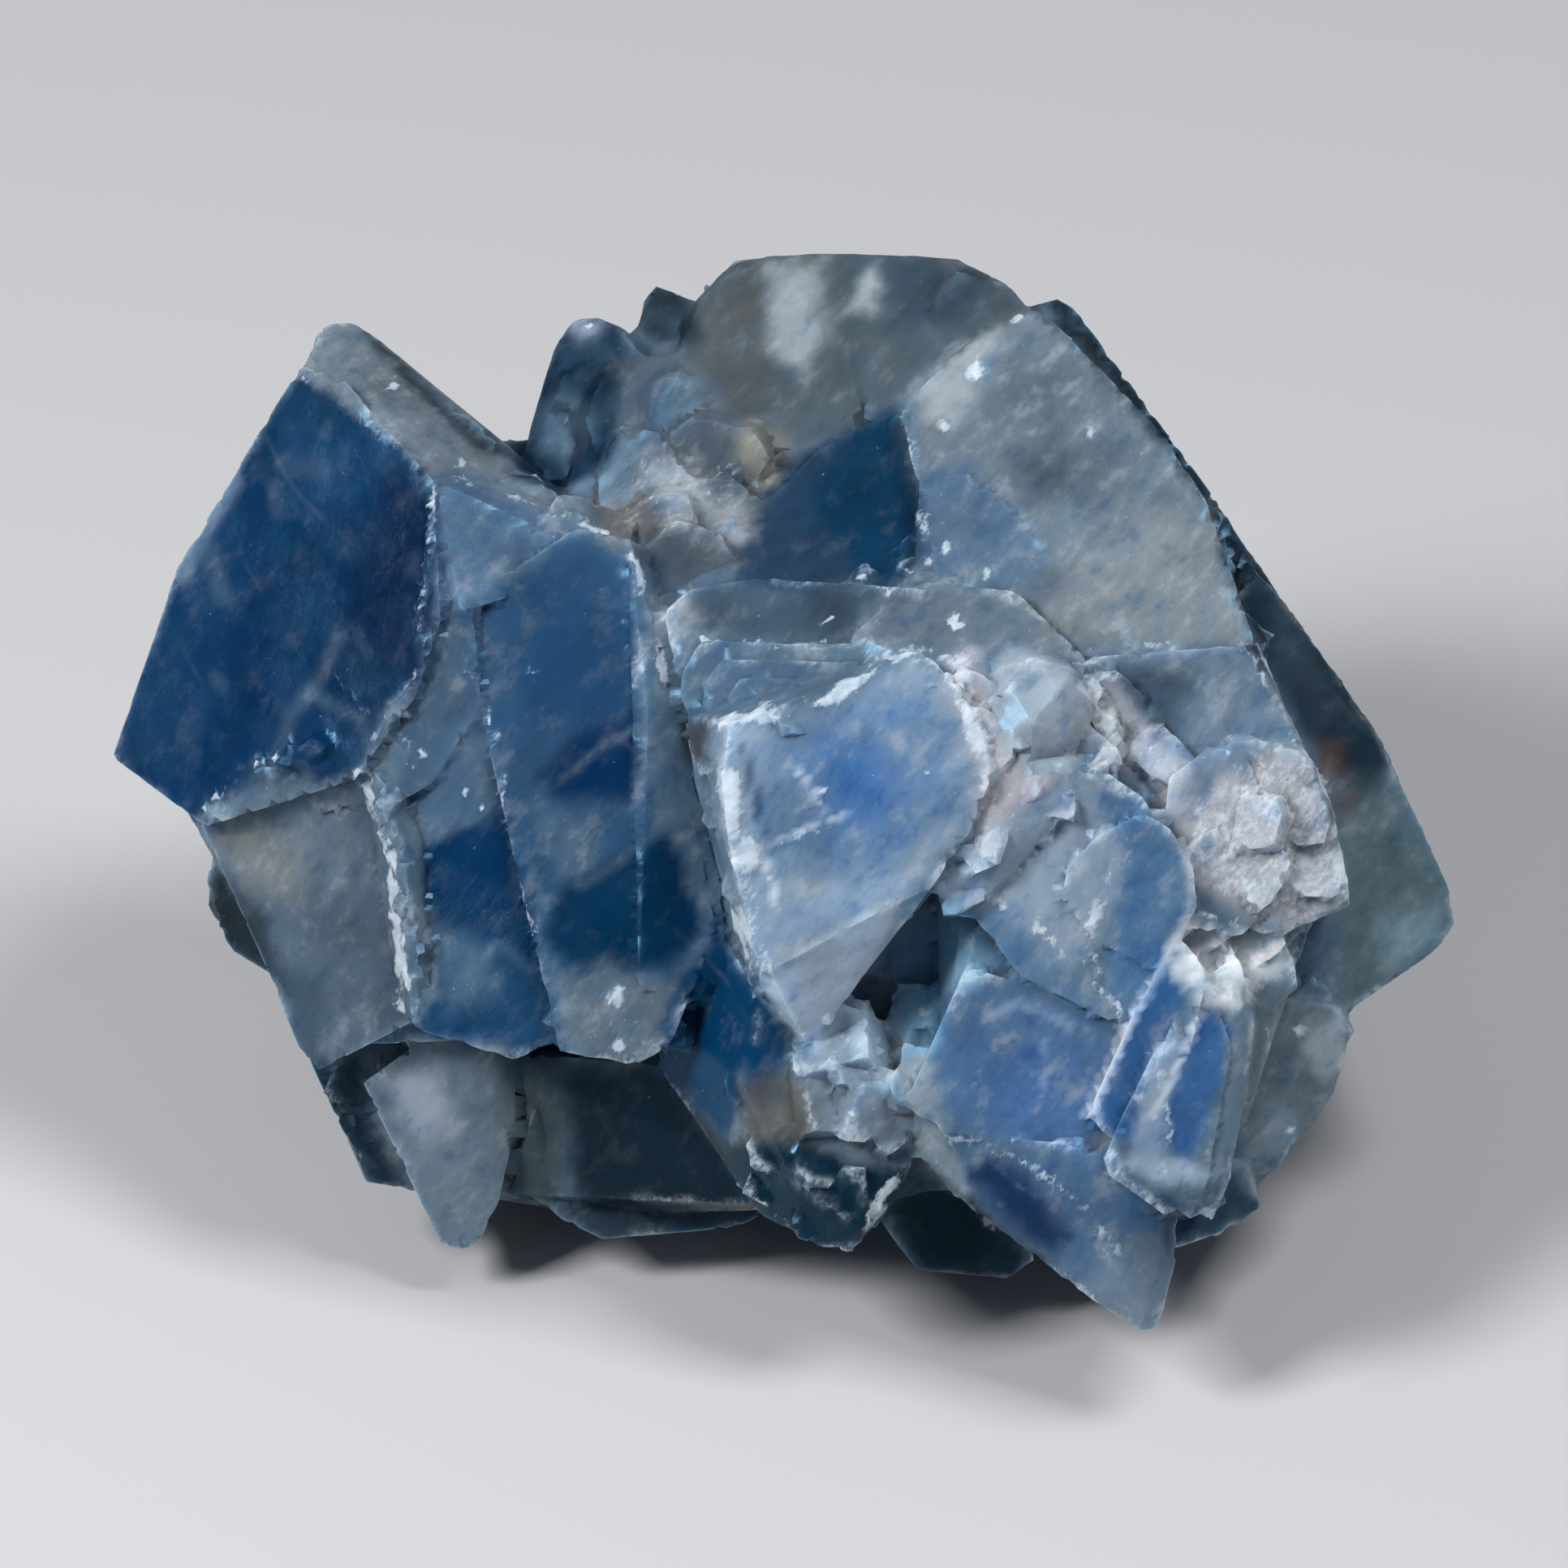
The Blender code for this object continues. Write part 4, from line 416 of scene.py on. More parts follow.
# Soft lines inside the clear faces: colour, width, strength, line
VEILS = [
    (HAZE, 0.4, 0.35, [(-19.7, 6.5), (-20.6, 4.6), (-21.8, 3.2), (-22.5, 1.4)]),
    (HAZE, 0.35, 0.4, [(-21.1, 4.1), (-18.9, 3), (-18.3, 1.9)]),
    (HAZE, 0.3, 0.25, [(-18.9, 6.6), (-18.4, 5.8)]),
    (MIST, 0.45, 0.5, [(-24.4, 13.4), (-26, 11), (-26.8, 9.2)]),
    (HAZE, 0.5, 0.35, [(-26, 11), (-25.3, 9.6), (-25, 8.4)]),
    (HAZE, 0.4, 0.25, [(-22.7, 13.2), (-22.5, 12)]),
    (HAZE, 0.6, 0.22, [(-22.2, 14.2), (-20.6, 13.9)]),
    (HAZE, 0.3, 0.22, [(-25.4, 4.8), (-24.9, 4.3)]),
    (HAZE, 0.25, 0.4, [(-9.9, 0.2), (-7.8, 1.8), (-6.4, 2.5)]),
    (HAZE, 0.3, 0.35, [(-8.9, -4.5), (-6.6, -2.9), (-4.6, -1.5)]),
    (MIST, 0.3, 0.4, [(-6.2, 6.4), (-6.2, 2), (-6.5, -0.6)]),
    (HAZE, 0.3, 0.35, [(-11.2, -8.2), (-12.6, -7), (-14.2, -8.6)]),
    (DEEP, 0.18, 0.55, [(-1.8, 1.6), (-1.1, -1), (-0.9, -2.2)]),
    (CHALK, 0.1, 0.4, [(-0.6, -2.6), (0.8, -2), (2.7, -1.3)]),
    (CHALK, 0.12, 0.5, [(-0.8, -3.4), (-0.3, -5.4)]),
    (CHALK, 0.14, 0.4, [(0.6, 0.6), (1.4, -0.4), (1.6, -1.2)]),
    (CHALK, 0.14, 0.7, [(17.3, -6.8), (16, -9.2), (14.4, -12), (13.2, -14.6)]),
    (CHALK, 0.16, 0.6, [(18.7, -9.2), (17.4, -12.2), (16.2, -14.6)]),
    (PALE, 0.14, 0.3, [(11.5, -11.4), (11.6, -12.6), (11.1, -14.4)]),
    (PALE, 0.25, 0.3, [(9, -10.2), (10.4, -9.6), (12.6, -10.6)]),
]

# Places where an edge under the clear face stays dark: outlines
CALM = [
    [(11.4, 22.4), (13, 22.6), (19.6, 14), (21, 9.5), (20, 8.6), (18.9, 12.8), (14.4, 18.8)],
    [(-7.4, 4), (-5.6, 4), (-5.4, -1.6), (-2.8, -2), (-2.8, -6.6), (-5.6, -9), (-7.4, -9)],
]

# Crushed white seams: width, strength, line
SEAMS = [
    (0.38, 1, [(-18.7, 0.4), (-17.5, -2.8), (-17.1, -6), (-16.9, -10)]),
    (0.22, 0.5, [(-17.4, 2.6), (-16.3, 1), (-15.8, -4), (-15.6, -8)]),
    (0.22, 0.6, [(-14, 6), (-12.9, 2), (-12.1, -2.4), (-10.8, -7.6), (-9.8, -10.4)]),
    (0.3, 0.6, [(-15.4, 13.6), (-16.4, 4.6), (-18.4, 1.8)]),
    (0.3, 0.5, [(-25.4, -1.6), (-22.6, 0.2), (-19, 0.3)]),
    (0.18, 0.4, [(-20.2, 5), (-17.8, 2.4)]),
    (0.35, 0.7, [(-8.8, 11.5), (-6.6, 9.8), (-5.6, 6.2), (-4.9, 3)]),
    (0.3, 0.5, [(-21.6, 18.2), (-15.6, 14), (-8.8, 11.6)]),
    (0.5, 0.9, [(-2.8, 2.7), (0, 3.2), (2.2, 3.8), (4.2, 5.4), (6, 6), (7.4, 5.2)]),
    (0.8, 1, [(-2.4, 0.2), (-1.8, -3), (-1.5, -6), (-1, -7.8)]),
    (0.18, 0.6, [(-1.2, -2.8), (1, -2.2), (3, -1.2)]),
    (0.2, 0.7, [(-3.8, 6.2), (0, 6.1), (2.8, 6.1)]),
    (0.7, 0.9, [(7.6, 5.2), (8.2, 3), (9, 0.4), (9, -2.6)]),
    (0.5, 1, [(13.2, 4.4), (14.4, 3), (14.6, 1.6), (13.4, 0.6)]),
    (0.45, 0.9, [(12.2, 0.8), (12.6, -0.8), (11.4, -2.4)]),
    (0.55, 0.9, [(15, -2.6), (14, -4.6), (13.4, -6.6), (13.6, -8.2)]),
    (0.3, 0.7, [(8.4, -4.4), (11.2, -6.4), (13.4, -8.4), (14.9, -10.4)]),
    (0.35, 0.6, [(16.7, -12.6), (17, -15), (16.6, -17)]),
    (0.35, 0.6, [(8.4, -18.8), (11, -20.9), (13.6, -22.7), (15.4, -24)]),
    (0.3, 0.7, [(7, -15.4), (10.6, -16.4), (13.4, -18.8), (14.8, -20.6)]),
    (0.4, 0.7, [(-1.9, -17.4), (-1, -19), (1, -20), (3, -20.8)]),
    (0.45, 0.8, [(3.6, -20), (4.4, -18.2), (5.4, -17.2)]),
    (0.35, 0.3, [(11.2, 20.9), (13.5, 18.2), (16.5, 14.6), (18.1, 12.2), (19.2, 9.2), (20.2, 6.4)]),
    (0.45, 0.8, [(20.9, 6), (21.5, 3.6), (22.9, 1.6), (24.2, -1), (24.9, -5)]),
    (0.3, 0.6, [(5.3, 16.4), (5.7, 13.8), (6.2, 11)]),
    (0.25, 0.5, [(12.8, 6), (16, 6.1), (20.6, 6.1)]),
    (0.4, 0.7, [(17.6, -5.6), (19.6, -6.2), (22.4, -6.6), (21.4, -8.4)]),
    (0.6, 0.8, [(18.6, -8.6), (20, -8.8), (21.4, -7.4)]),
    (0.3, 0.5, [(5, -12.2), (5.6, -15.4), (7.8, -18.4)]),
]

# Crushed white spots: x, y, radius
SPOTS = [
    (-25.9, -1.2, 0.4), (-25.2, -0.6, 0.35), (-24.4, 0.1, 0.4), (-23.4, 1.1, 0.4), (-22.6, 1.2, 0.35),
    (-21.8, 0.3, 0.3), (-16.7, 3, 0.45), (-16.1, 1.6, 0.35), (-14.1, -0.3, 0.35), (-13.4, -0.9, 0.25),
    (-8.5, -1.3, 0.3), (-11, 5, 0.28), (-10.8, -0.6, 0.22), (-17.4, 17.8, 0.5), (-14.4, 14.2, 0.6),
    (-8.8, 20.8, 0.7), (-9.6, 16.4, 0.5), (-7.4, -9.4, 0.9), (-7.4, -11.6, 0.6), (-10.2, -5.6, 0.4),
    (3.4, 9.2, 0.45), (4, 9.4, 0.4), (5.6, 9.3, 0.45), (6.4, 9.8, 0.5), (7.2, 10.6, 0.55), (4.7, 8.5, 0.4),
    (7.1, 15.9, 0.7), (8.4, 18.4, 0.9), (13.4, 15.5, 0.6), (15.6, 14.6, 0.3), (10.4, 20.8, 0.7),
    (7.6, 7.2, 0.6), (1.8, 7.2, 0.25), (10.6, 9.9, 0.3), (9, 9.2, 0.4), (1.6, -0.2, 0.4), (6.2, 0.4, 0.22),
    (8.2, -12.9, 0.35), (4.6, -18.2, 0.4), (6.2, -10.2, 0.5), (11.6, -3.6, 0.2), (20.6, 9, 0.35),
    (21.3, -10.8, 0.6), (23, -11, 0.7), (22.4, -15.4, 0.5), (-2.4, 1.6, 0.4), (11.4, 1.7, 0.22),
]

# Worn places where the blocks have lost their corners: name, strength, width of soft edge, outline
WORN = [
    ("crown", 0.8, 1.2, [(-5, 24.6), (-5, 19), (-2, 15), (1.6, 15.6), (6, 18), (12, 21), (9, 25)]),
    ("knobs", 0.7, 0.8, [(-12.6, 13), (-11, 21.8), (-4, 23), (-5, 18), (-7.6, 13.4)]),
    ("shoulder", 0.35, 0.8, [(-8, 19), (-1, 16), (-1, 9.6), (-8.6, 10.6)]),
    ("corner", 0.7, 1, [(20, 13), (28, 2), (31, -8), (24.6, -10.4), (25, -4), (21.6, 4)]),
    ("lobes", 0.6, 1, [(20, -9), (26, -9), (26, -14), (20, -19.6)]),
    ("under_ledge", 0.6, 1, [(3, -18), (6, -16.8), (12, -21), (10, -23.6), (4, -22.8)]),
]

# Frosted regions, rough all over: name, strength, width of soft edge, outline
FROST = [
    ("frosted_block", 0.5, 0.8, [(17.6, -0.6), (20.4, 1.9), (23, 1.8), (24.6, -1.6), (25.4, -5.4),
     (22.6, -6.6), (20.4, -6), (17.6, -4.4)]),
    ("shoulder", 0.5, 0.8, [(17.6, -6), (22.4, -6.2), (21.8, -9), (20, -10.4), (17.6, -8.6)]),
    ("saddle", 0.38, 0.8, [(7, 5.8), (8.8, 6.2), (9.4, 2.4), (12, 0.4), (10.4, -2.4), (9, -4.4), (8, -1),
     (7.6, 3)]),
    ("furrow", 0.4, 0.8, [(13.4, 4.4), (16, 3), (18, 0), (17, -2), (14, 1)]),
    ("chin", 0.4, 0.8, [(-0.6, -8.4), (4, -6), (3.6, -9), (1.4, -11.4)]),
    ("hollow", 0.35, 1, [(1.4, -10.6), (4, -9), (5, -13.6), (5, -16.4), (1, -14)]),
    ("window_foot", 0.3, 1, [(-9.6, -8.8), (-5.6, -9.2), (-5, -12.6), (-9, -12.6)]),
    ("nose", 0.22, 1.5, [(-2.6, 2.6), (5.6, 5.6), (8.6, 1), (6.6, -4), (0, -7), (-1.6, -8)]),
    ("veined", 0.22, 1, [(9, -2), (13, 0.4), (16, -1), (13, -8.6), (8.6, -5.6)]),
    ("face", 0.18, 1, [(7, -9.4), (14.6, -10.6), (13.4, -15.4), (7, -14)]),
    ("tip", 0.2, 1, [(8, -15.6), (16, -17.6), (16.4, -23), (11, -20.4)]),
    ("shoulder_left", 0.38, 1, [(-7, 15), (-1, 15), (-2, 10), (-8, 11)]),
    ("face_foot", 0.25, 1, [(11, 7.4), (19, 11.6), (20.6, 6.4)]),
    ("pale_block", 0.15, 1, [(-25, -2.4), (-19, 0), (-17, -10), (-20.8, -12.4)]),
    ("corner", 0.24, 1.2, [(24.6, 0), (28, -1), (30.4, -6), (29, -8.4), (25, -9.6)]),
    ("flank", 0.2, 1, [(20, 12), (26.6, 2), (25, -1), (21, 6)]),
    ("tooth", 0.2, 1, [(-18.6, -12.8), (-12.6, -12), (-14, -20.6)]),
]


def linear(colour):
    """An sRGB colour as linear light."""
    return tuple(c / 12.92 if c <= 0.04045 else ((c + 0.055) / 1.055) ** 2.4 for c in colour)


def smoothstep(low, high, values):
    share = np.clip((values - low) / (high - low), 0, 1)
    return share * share * (3 - 2 * share)


def to_view(points):
    """Points of the frame, in metres, in the viewer's millimetres."""
    return points @ TO_VIEW.T / MM + np.array(VIEW_SHIFT)


def from_view(point):
    return FROM_VIEW @ ((Vector(point) - VIEW_SHIFT) * MM)


def segment_distance(x, y, start, end):
    across, up = end[0] - start[0], end[1] - start[1]
    share = np.clip(((x - start[0]) * across + (y - start[1]) * up) / (across**2 + up**2), 0, 1)
    return np.hypot(x - start[0] - share * across, y - start[1] - share * up)


def line_share(x, y, width, line):
    """How much of a soft line of this width lies at each point."""
    share = np.zeros(len(x))
    for start, end in zip(line, line[1:]):
        gap = segment_distance(x, y, start, end)
        share = np.maximum(share, 1 - smoothstep(LINE_FULL * width, LINE_GONE * width, gap))
    return share


def outline_depth(x, y, outline):
    """How far inside an outline each point lies, negative outside it."""
    nearest = np.full(len(x), np.inf)
    inside = np.zeros(len(x), bool)
    for start, end in zip(outline, outline[1:] + outline[:1]):
        nearest = np.minimum(nearest, segment_distance(x, y, start, end))
        if start[1] == end[1]:
            continue
        crosses = (start[1] > y) != (end[1] > y)
        at = start[0] + (y - start[1]) / (end[1] - start[1]) * (end[0] - start[0])
        inside ^= crosses & (x < at)
    return np.where(inside, nearest, -nearest)


def patch_share(x, y, soft, outline):
    """How much of a patch with a soft edge lies at each point."""
    return smoothstep(-soft, soft, outline_depth(x, y, outline))


def noise_field(points, size, octaves, seed):
    """Smooth noise from -1 to 1 at points in millimetres, with features of this size."""
    shift = Vector([seed * step for step in NOISE_SHIFT])
    return np.array([noise.fractal(Vector(p) / size + shift, FALL_OFF, LACUNARITY, octaves) for p in points])


def noise_share(points, size, octaves, seed, low, high):
    """A share from 0 to 1 at each point, where noise rises from a low level to a high one."""
    return smoothstep(low, high, noise_field(points, size, octaves, seed))


def facet_field(points, size, seed):
    """Tilted flat facets, one for each cell of this size, stepping where cells meet."""
    shift = Vector([seed * step for step in FACET_SHIFT])
    heights = np.empty(len(points))
    for k, p in enumerate(points):
        place = Vector(p) / size + shift
        centre = noise.voronoi(place)[1][0]
        tilt = noise.cell_vector(centre * FACET_SPREAD) * 2 - Vector((1, 1, 1))
        heights[k] = (place - centre).dot(tilt)
    return heights


class Surface:
    """The stone's points with their neighbours, for smoothing and for finding edges."""

    def __init__(self, mesh):
        self.mesh = mesh
        count = len(mesh.vertices)
        self.points = np.empty(count * 3)
        mesh.vertices.foreach_get("co", self.points)
        self.points = self.points.reshape(-1, 3)
        edges = np.empty(len(mesh.edges) * 2, np.int64)
        mesh.edges.foreach_get("vertices", edges)
        self.edges = edges.reshape(-1, 2)
        self.valence = np.bincount(self.edges.ravel(), minlength=count)[:, None]

    def mean(self, values):
        """Each point's value averaged over its neighbours."""
        total = np.zeros_like(values)
        for axis in range(values.shape[1]):
            for here, there in ((0, 1), (1, 0)):
                total[:, axis] += np.bincount(
                    self.edges[:, here], values[self.edges[:, there], axis], len(values)
                )
        return total / self.valence

    def smoothed(self, values, rounds):
        for _ in range(rounds):
            values = 0.5 * values + 0.5 * self.mean(values)
        return values

    def normals(self):
        """Writes the points to the mesh and returns its normals."""
        self.mesh.vertices.foreach_set("co", self.points.ravel())
        self.mesh.update()
        found = np.empty(len(self.points) * 3)
        self.mesh.vertices.foreach_get("normal", found)
        return found.reshape(-1, 3)

    def bulge(self, rounds, full):
        """How strongly each point stands out: 1 on full ridges, 0 on flats, below 0 in hollows."""
        normals = self.normals()
        out = ((self.points - self.smoothed(self.points, rounds)) * normals).sum(1)
        return out / MM / full


def add_object(name, data):
    made = bpy.data.objects.new(name, data)
    bpy.context.scene.collection.objects.link(made)
    return made


def fine_mesh(solid):
    """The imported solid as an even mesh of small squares."""
    copy = add_object("calcite_remesh", solid.data.copy())
    remesh = copy.modifiers.new("remesh", "REMESH")
    remesh.mode = "VOXEL"
    remesh.voxel_size = VOXEL * MM
    graph = bpy.context.evaluated_depsgraph_get()
    mesh = bpy.data.meshes.new_from_object(copy.evaluated_get(graph))
    bpy.data.objects.remove(copy)
    mesh.name = "calcite_surface"
    mesh.materials.clear()
    drop_specks(mesh)
    return mesh


def drop_specks(mesh):
    """Leaves only the largest shell, without the loose specks that a remesh makes."""
    work = bmesh.new()
    work.from_mesh(mesh)
    unreached = set(work.verts)
    shells = []
    for start in work.verts:
        if start not in unreached:
            continue
        unreached.remove(start)
        shell = [start]
        for vertex in shell:
            near = {edge.other_vert(vertex) for edge in vertex.link_edges} & unreached
            unreached -= near
            shell.extend(near)
        shells.append(shell)
    shells.sort(key=len)
    specks = [vertex for shell in shells[:-1] for vertex in shell]
    bmesh.ops.delete(work, geom=specks, context="VERTS")
    work.to_mesh(mesh)
    work.free()


def crease_tree(solid):
    """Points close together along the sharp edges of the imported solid."""
    work = bmesh.new()
    work.from_mesh(solid.data)
    bmesh.ops.remove_doubles(work, verts=work.verts, dist=WELD * MM)
    points = []
    for edge in work.edges:
        if len(edge.link_faces) != 2 or edge.calc_face_angle() < CREASE_ANGLE:
            continue
        start, end = (vertex.co for vertex in edge.verts)
        steps = max(1, round((end - start).length / (CREASE_STEP * MM)))
        points += [start.lerp(end, step / steps) for step in range(steps + 1)]
    work.free()
    tree = KDTree(len(points))
    for k, point in enumerate(points):
        tree.insert(point, k)
    tree.balance()
    return tree


def side_tones(solid):
    """A tone from 0 to 1 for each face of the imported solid, the same all over a flat side."""
    tones = []
    for face in solid.data.polygons:
        level = round(face.normal.dot(face.center) / (TONE_LEVEL * MM))
        side = Vector([TONE_SPREAD * round(TONE_STEPS * part) for part in face.normal])
        tones.append(noise.cell(side + Vector((level + 0.5, 0.5, 0.5))) % 1)
    return tones


def sharpen(surface, solid):
    """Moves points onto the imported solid, those near a sharp edge onto that edge, and returns their tones."""
    corners = [vertex.co for vertex in solid.data.vertices]
    faces = BVHTree.FromPolygons(corners, [face.vertices for face in solid.data.polygons])
    creases = crease_tree(solid)
    tones = side_tones(solid)
    tone = np.empty(len(surface.points))
    for k, point in enumerate(surface.points):
        at, _, face, _ = faces.find_nearest(Vector(point))
        tone[k] = tones[face]
        crease, _, gap = creases.find(at)
        surface.points[k] = crease if gap < CREASE_REACH * VOXEL * MM else at
    return tone


def sharp_ridges(surface):
    """How strongly each point stands on a sharp edge, from 0 to 1."""
    ridge = np.clip(surface.bulge(RIDGE_ROUNDS, RIDGE_BULGE), 0, 1)
    return np.clip(RIDGE_GAIN * surface.smoothed(ridge[:, None], SOFT_ROUNDS)[:, 0], 0, 1)


def frost_share(view, warp, seen):
    """How white and crushed the stone is at each point."""
    patchy = PATCHY_LEAST + (1 - PATCHY_LEAST) * noise_share(view, **PATCHY)
    x, y = view[:, 0] + warp[:, 0], view[:, 1] + warp[:, 1]
    frost = np.zeros(len(view))
    for _, strength, soft, outline in FROST:
        frost = np.maximum(frost, strength * patch_share(x, y, soft, outline))
    for width, strength, line in SEAMS:
        frost = np.maximum(frost, strength * patchy * line_share(x, y, width, line))
    for centre_x, centre_y, radius in SPOTS:
        gap = np.hypot(x - centre_x, y - centre_y)
        frost = np.maximum(frost, SPOT_FROST * (1 - smoothstep(SPOT_FULL * radius, SPOT_GONE * radius, gap)))
    return frost * seen + (1 - seen) * BACK_FROST * noise_share(view, **FROSTY_BACK)


def worn_share(view, seen):
    """How far the blocks have lost their corners at each point."""
    x, y = view[:, 0], view[:, 1]
    return np.max([share * patch_share(x, y, soft, outline) for _, share, soft, outline in WORN], 0) * seen


def relief(view, frost):
    """How far steps, chips and frost stand out at each point, in millimetres."""
    height = SWELL * noise_field(view, size=4.5, octaves=2, seed=31)
    height += WIDE_FACETS * facet_field(view, size=5.0, seed=1)
    height += (SMALL_FACETS + FROST_FACETS * frost) * facet_field(view, size=1.4, seed=2)
    height += FROST_GRAINS * frost * facet_field(view, size=0.8, seed=3)
    return height


def white_rims(view, ridge, worn, seen):
    """The ridges that show as white rims: fewer where they fade, are worn, stay dark or are out of focus."""
    x, y = view[:, 0], view[:, 1]
    fading = FADING_LEAST + (1 - FADING_LEAST) * noise_share(view, **FADING)
    calm = np.max([smoothstep(*CALM_EDGE, outline_depth(x, y, outline)) for outline in CALM], 0)
    blurred = np.maximum(smoothstep(*BLURRED_LEFT, x), smoothstep(*BLURRED_TOP, y))
    return ridge * (fading * (1 - WORN_DIMS * worn) * (1 - calm * seen) * (1 - BLUR_DIMS * blurred * seen))


def break_surface(surface):
    """Chips the edges, steps the cleavage faces and crushes the frosted places, and returns what to paint."""
    start = surface.points.copy()
    view = to_view(start)
    facing = surface.smoothed(surface.normals(), SIGHT_ROUNDS) @ TO_VIEW.T
    seen = smoothstep(*IN_SIGHT, facing[:, 2])
    warp = np.stack([WARP * noise_field(view, size=1.1, octaves=3, seed=seed) for seed in (11, 12)], 1)
    ridge = sharp_ridges(surface)
    frost = frost_share(view, warp, seen)
    worn = worn_share(view, seen)

    chip = CHIP_DEPTH * noise_share(view, **CHIPPED) * smoothstep(*RIDGE_CHIPS, ridge)
    surface.points = start + chip[:, None] * (surface.smoothed(start, CHIP_ROUNDS) - start)
    surface.points += worn[:, None] * (surface.smoothed(surface.points, WORN_ROUNDS) - surface.points)
    normals = surface.smoothed(surface.normals(), SOFT_ROUNDS)
    normals /= np.linalg.norm(normals, axis=1)[:, None]
    height = relief(view, frost) * smoothstep(*FLAT_BASE, start[:, 2] / MM)
    surface.points += (height * MM)[:, None] * normals
    surface.points = np.clip(surface.points, np.array(cad_box[0]), np.array(cad_box[1]))

    rims = white_rims(view, ridge, worn, seen)
    return view, warp, {"seen": seen, "frost": frost, "ridge": rims, "worn": worn}


def laid_over(under, colour, share):
    """Colours at each point with a share of another colour laid over them."""
    return under + share[:, None] * (np.array(linear(colour)) - under)


def painted(view, warp, seen, hidden):
    """The stone's colour at each point, before frost."""
    x, y = view[:, 0] + warp[:, 0], view[:, 1] + warp[:, 1]
    front = np.tile(linear(HAZE), (len(view), 1))
    for _, colour, soft, strength, outline in PAINT:
        front = laid_over(front, colour, strength * patch_share(x, y, soft, outline))
    for colour, width, strength, line in VEILS:
        front = laid_over(front, colour, strength * line_share(view[:, 0], view[:, 1], width, line))
    for colour, clouds in ((WINDOW, DARK_CLOUDS), (HAZE, PALE_CLOUDS)):
        hidden = laid_over(hidden, colour, BACK_CLOUDS * noise_share(view, **clouds))
    return hidden + seen[:, None] * (front - hidden)


def add_attribute(mesh, name, kind, values):
    layer = mesh.attributes.new(name, kind, "POINT")
    field = "color" if kind == "FLOAT_COLOR" else "value"
    layer.data.foreach_set(field, values.astype(np.float32).ravel())


def build_stone():
    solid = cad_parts["calcite"]
    mesh = fine_mesh(solid)
    surface = Surface(mesh)
    tone = sharpen(surface, solid)
    back = np.array([linear(colour) for colour in BACK_TONES])[(tone * len(BACK_TONES)).astype(int)]
    view, warp, shares = break_surface(surface)
    colour = painted(view, warp, shares["seen"], surface.smoothed(back, SOFT_ROUNDS))
    # How deep each point lies in a hollow, for the painted shade there
    shares["cavity"] = np.clip(-surface.bulge(CAVITY_ROUNDS, CAVITY_BULGE), 0, 1)
    add_attribute(mesh, "tint", "FLOAT_COLOR", np.column_stack([colour, np.ones(len(colour))]))
    for name, values in shares.items():
        add_attribute(mesh, name, "FLOAT", values)
    mesh.shade_smooth()
    mesh.set_sharp_from_angle(angle=SHADED_SHARP_ANGLE)
    return add_object("calcite_stone", mesh)


def set_inputs(node, values):
    for name, value in values.items():
        node.inputs[name].default_value = value


class Nodes:
    """A short way to add shader nodes to a material."""

    def __init__(self, material):
        material.use_nodes = True
        self.tree = material.node_tree
        self.shader = self.tree.nodes["Principled BSDF"]

    def add(self, kind, **settings):
        node = self.tree.nodes.new(kind)
        for name, value in settings.items():
            setattr(node, name, value)
        return node

    def link(self, source, target):
        self.tree.links.new(source, target)

    def attribute(self, name, output="Fac"):
        return self.add("ShaderNodeAttribute", attribute_name=name).outputs[output]

    def math(self, operation, first, second=None):
        node = self.add("ShaderNodeMath", operation=operation)
        for socket, value in zip(node.inputs, (first, second)):
            if isinstance(value, (int, float)):
                socket.default_value = value
            elif value is not None:
                self.link(value, socket)
        return node.outputs[0]

    def ramp(self, source, low, high, bottom=0.0, top=1.0):
        """Rises smoothly from bottom to top while the source goes from low to high."""
        node = self.add("ShaderNodeMapRange", interpolation_type="SMOOTHSTEP")
        self.link(source, node.inputs["Value"])
        set_inputs(node, {"From Min": low, "From Max": high, "To Min": bottom, "To Max": top})
        return node.outputs["Result"]

    def mix(self, share, first, second, blend="MIX"):
        node = self.add("ShaderNodeMix", data_type="RGBA", blend_type=blend)
        sockets = [socket for socket in node.inputs if socket.enabled]
        for socket, value in zip(sockets, (share, first, second)):
            if isinstance(value, (int, float)):
                socket.default_value = value
            elif isinstance(value, tuple):
                socket.default_value = (*value, 1)
            else:
                self.link(value, socket)
        return next(socket for socket in node.outputs if socket.enabled)

    def noise(self, place, size, detail, roughness=0.55, unit=MM):
        """Noise with features of this size, in millimetres or in another unit."""
        node = self.add("ShaderNodeTexNoise")
        self.link(place, node.inputs["Vector"])
        set_inputs(node, {"Scale": 1 / (size * unit), "Detail": detail, "Roughness": roughness})
        return node.outputs["Fac"]

    def cleavage_noise(self, place, sizes, detail, roughness):
        """Noise turned to the stone's cleavage, with features of these sizes in millimetres."""
        turned = self.add("ShaderNodeMapping", vector_type="TEXTURE")
        self.link(place, turned.inputs["Vector"])
        set_inputs(turned, {"Rotation": CLEAVAGE_TURN, "Scale": [size * MM for size in sizes]})
        return self.noise(turned.outputs["Vector"], 1, detail, roughness, unit=1)


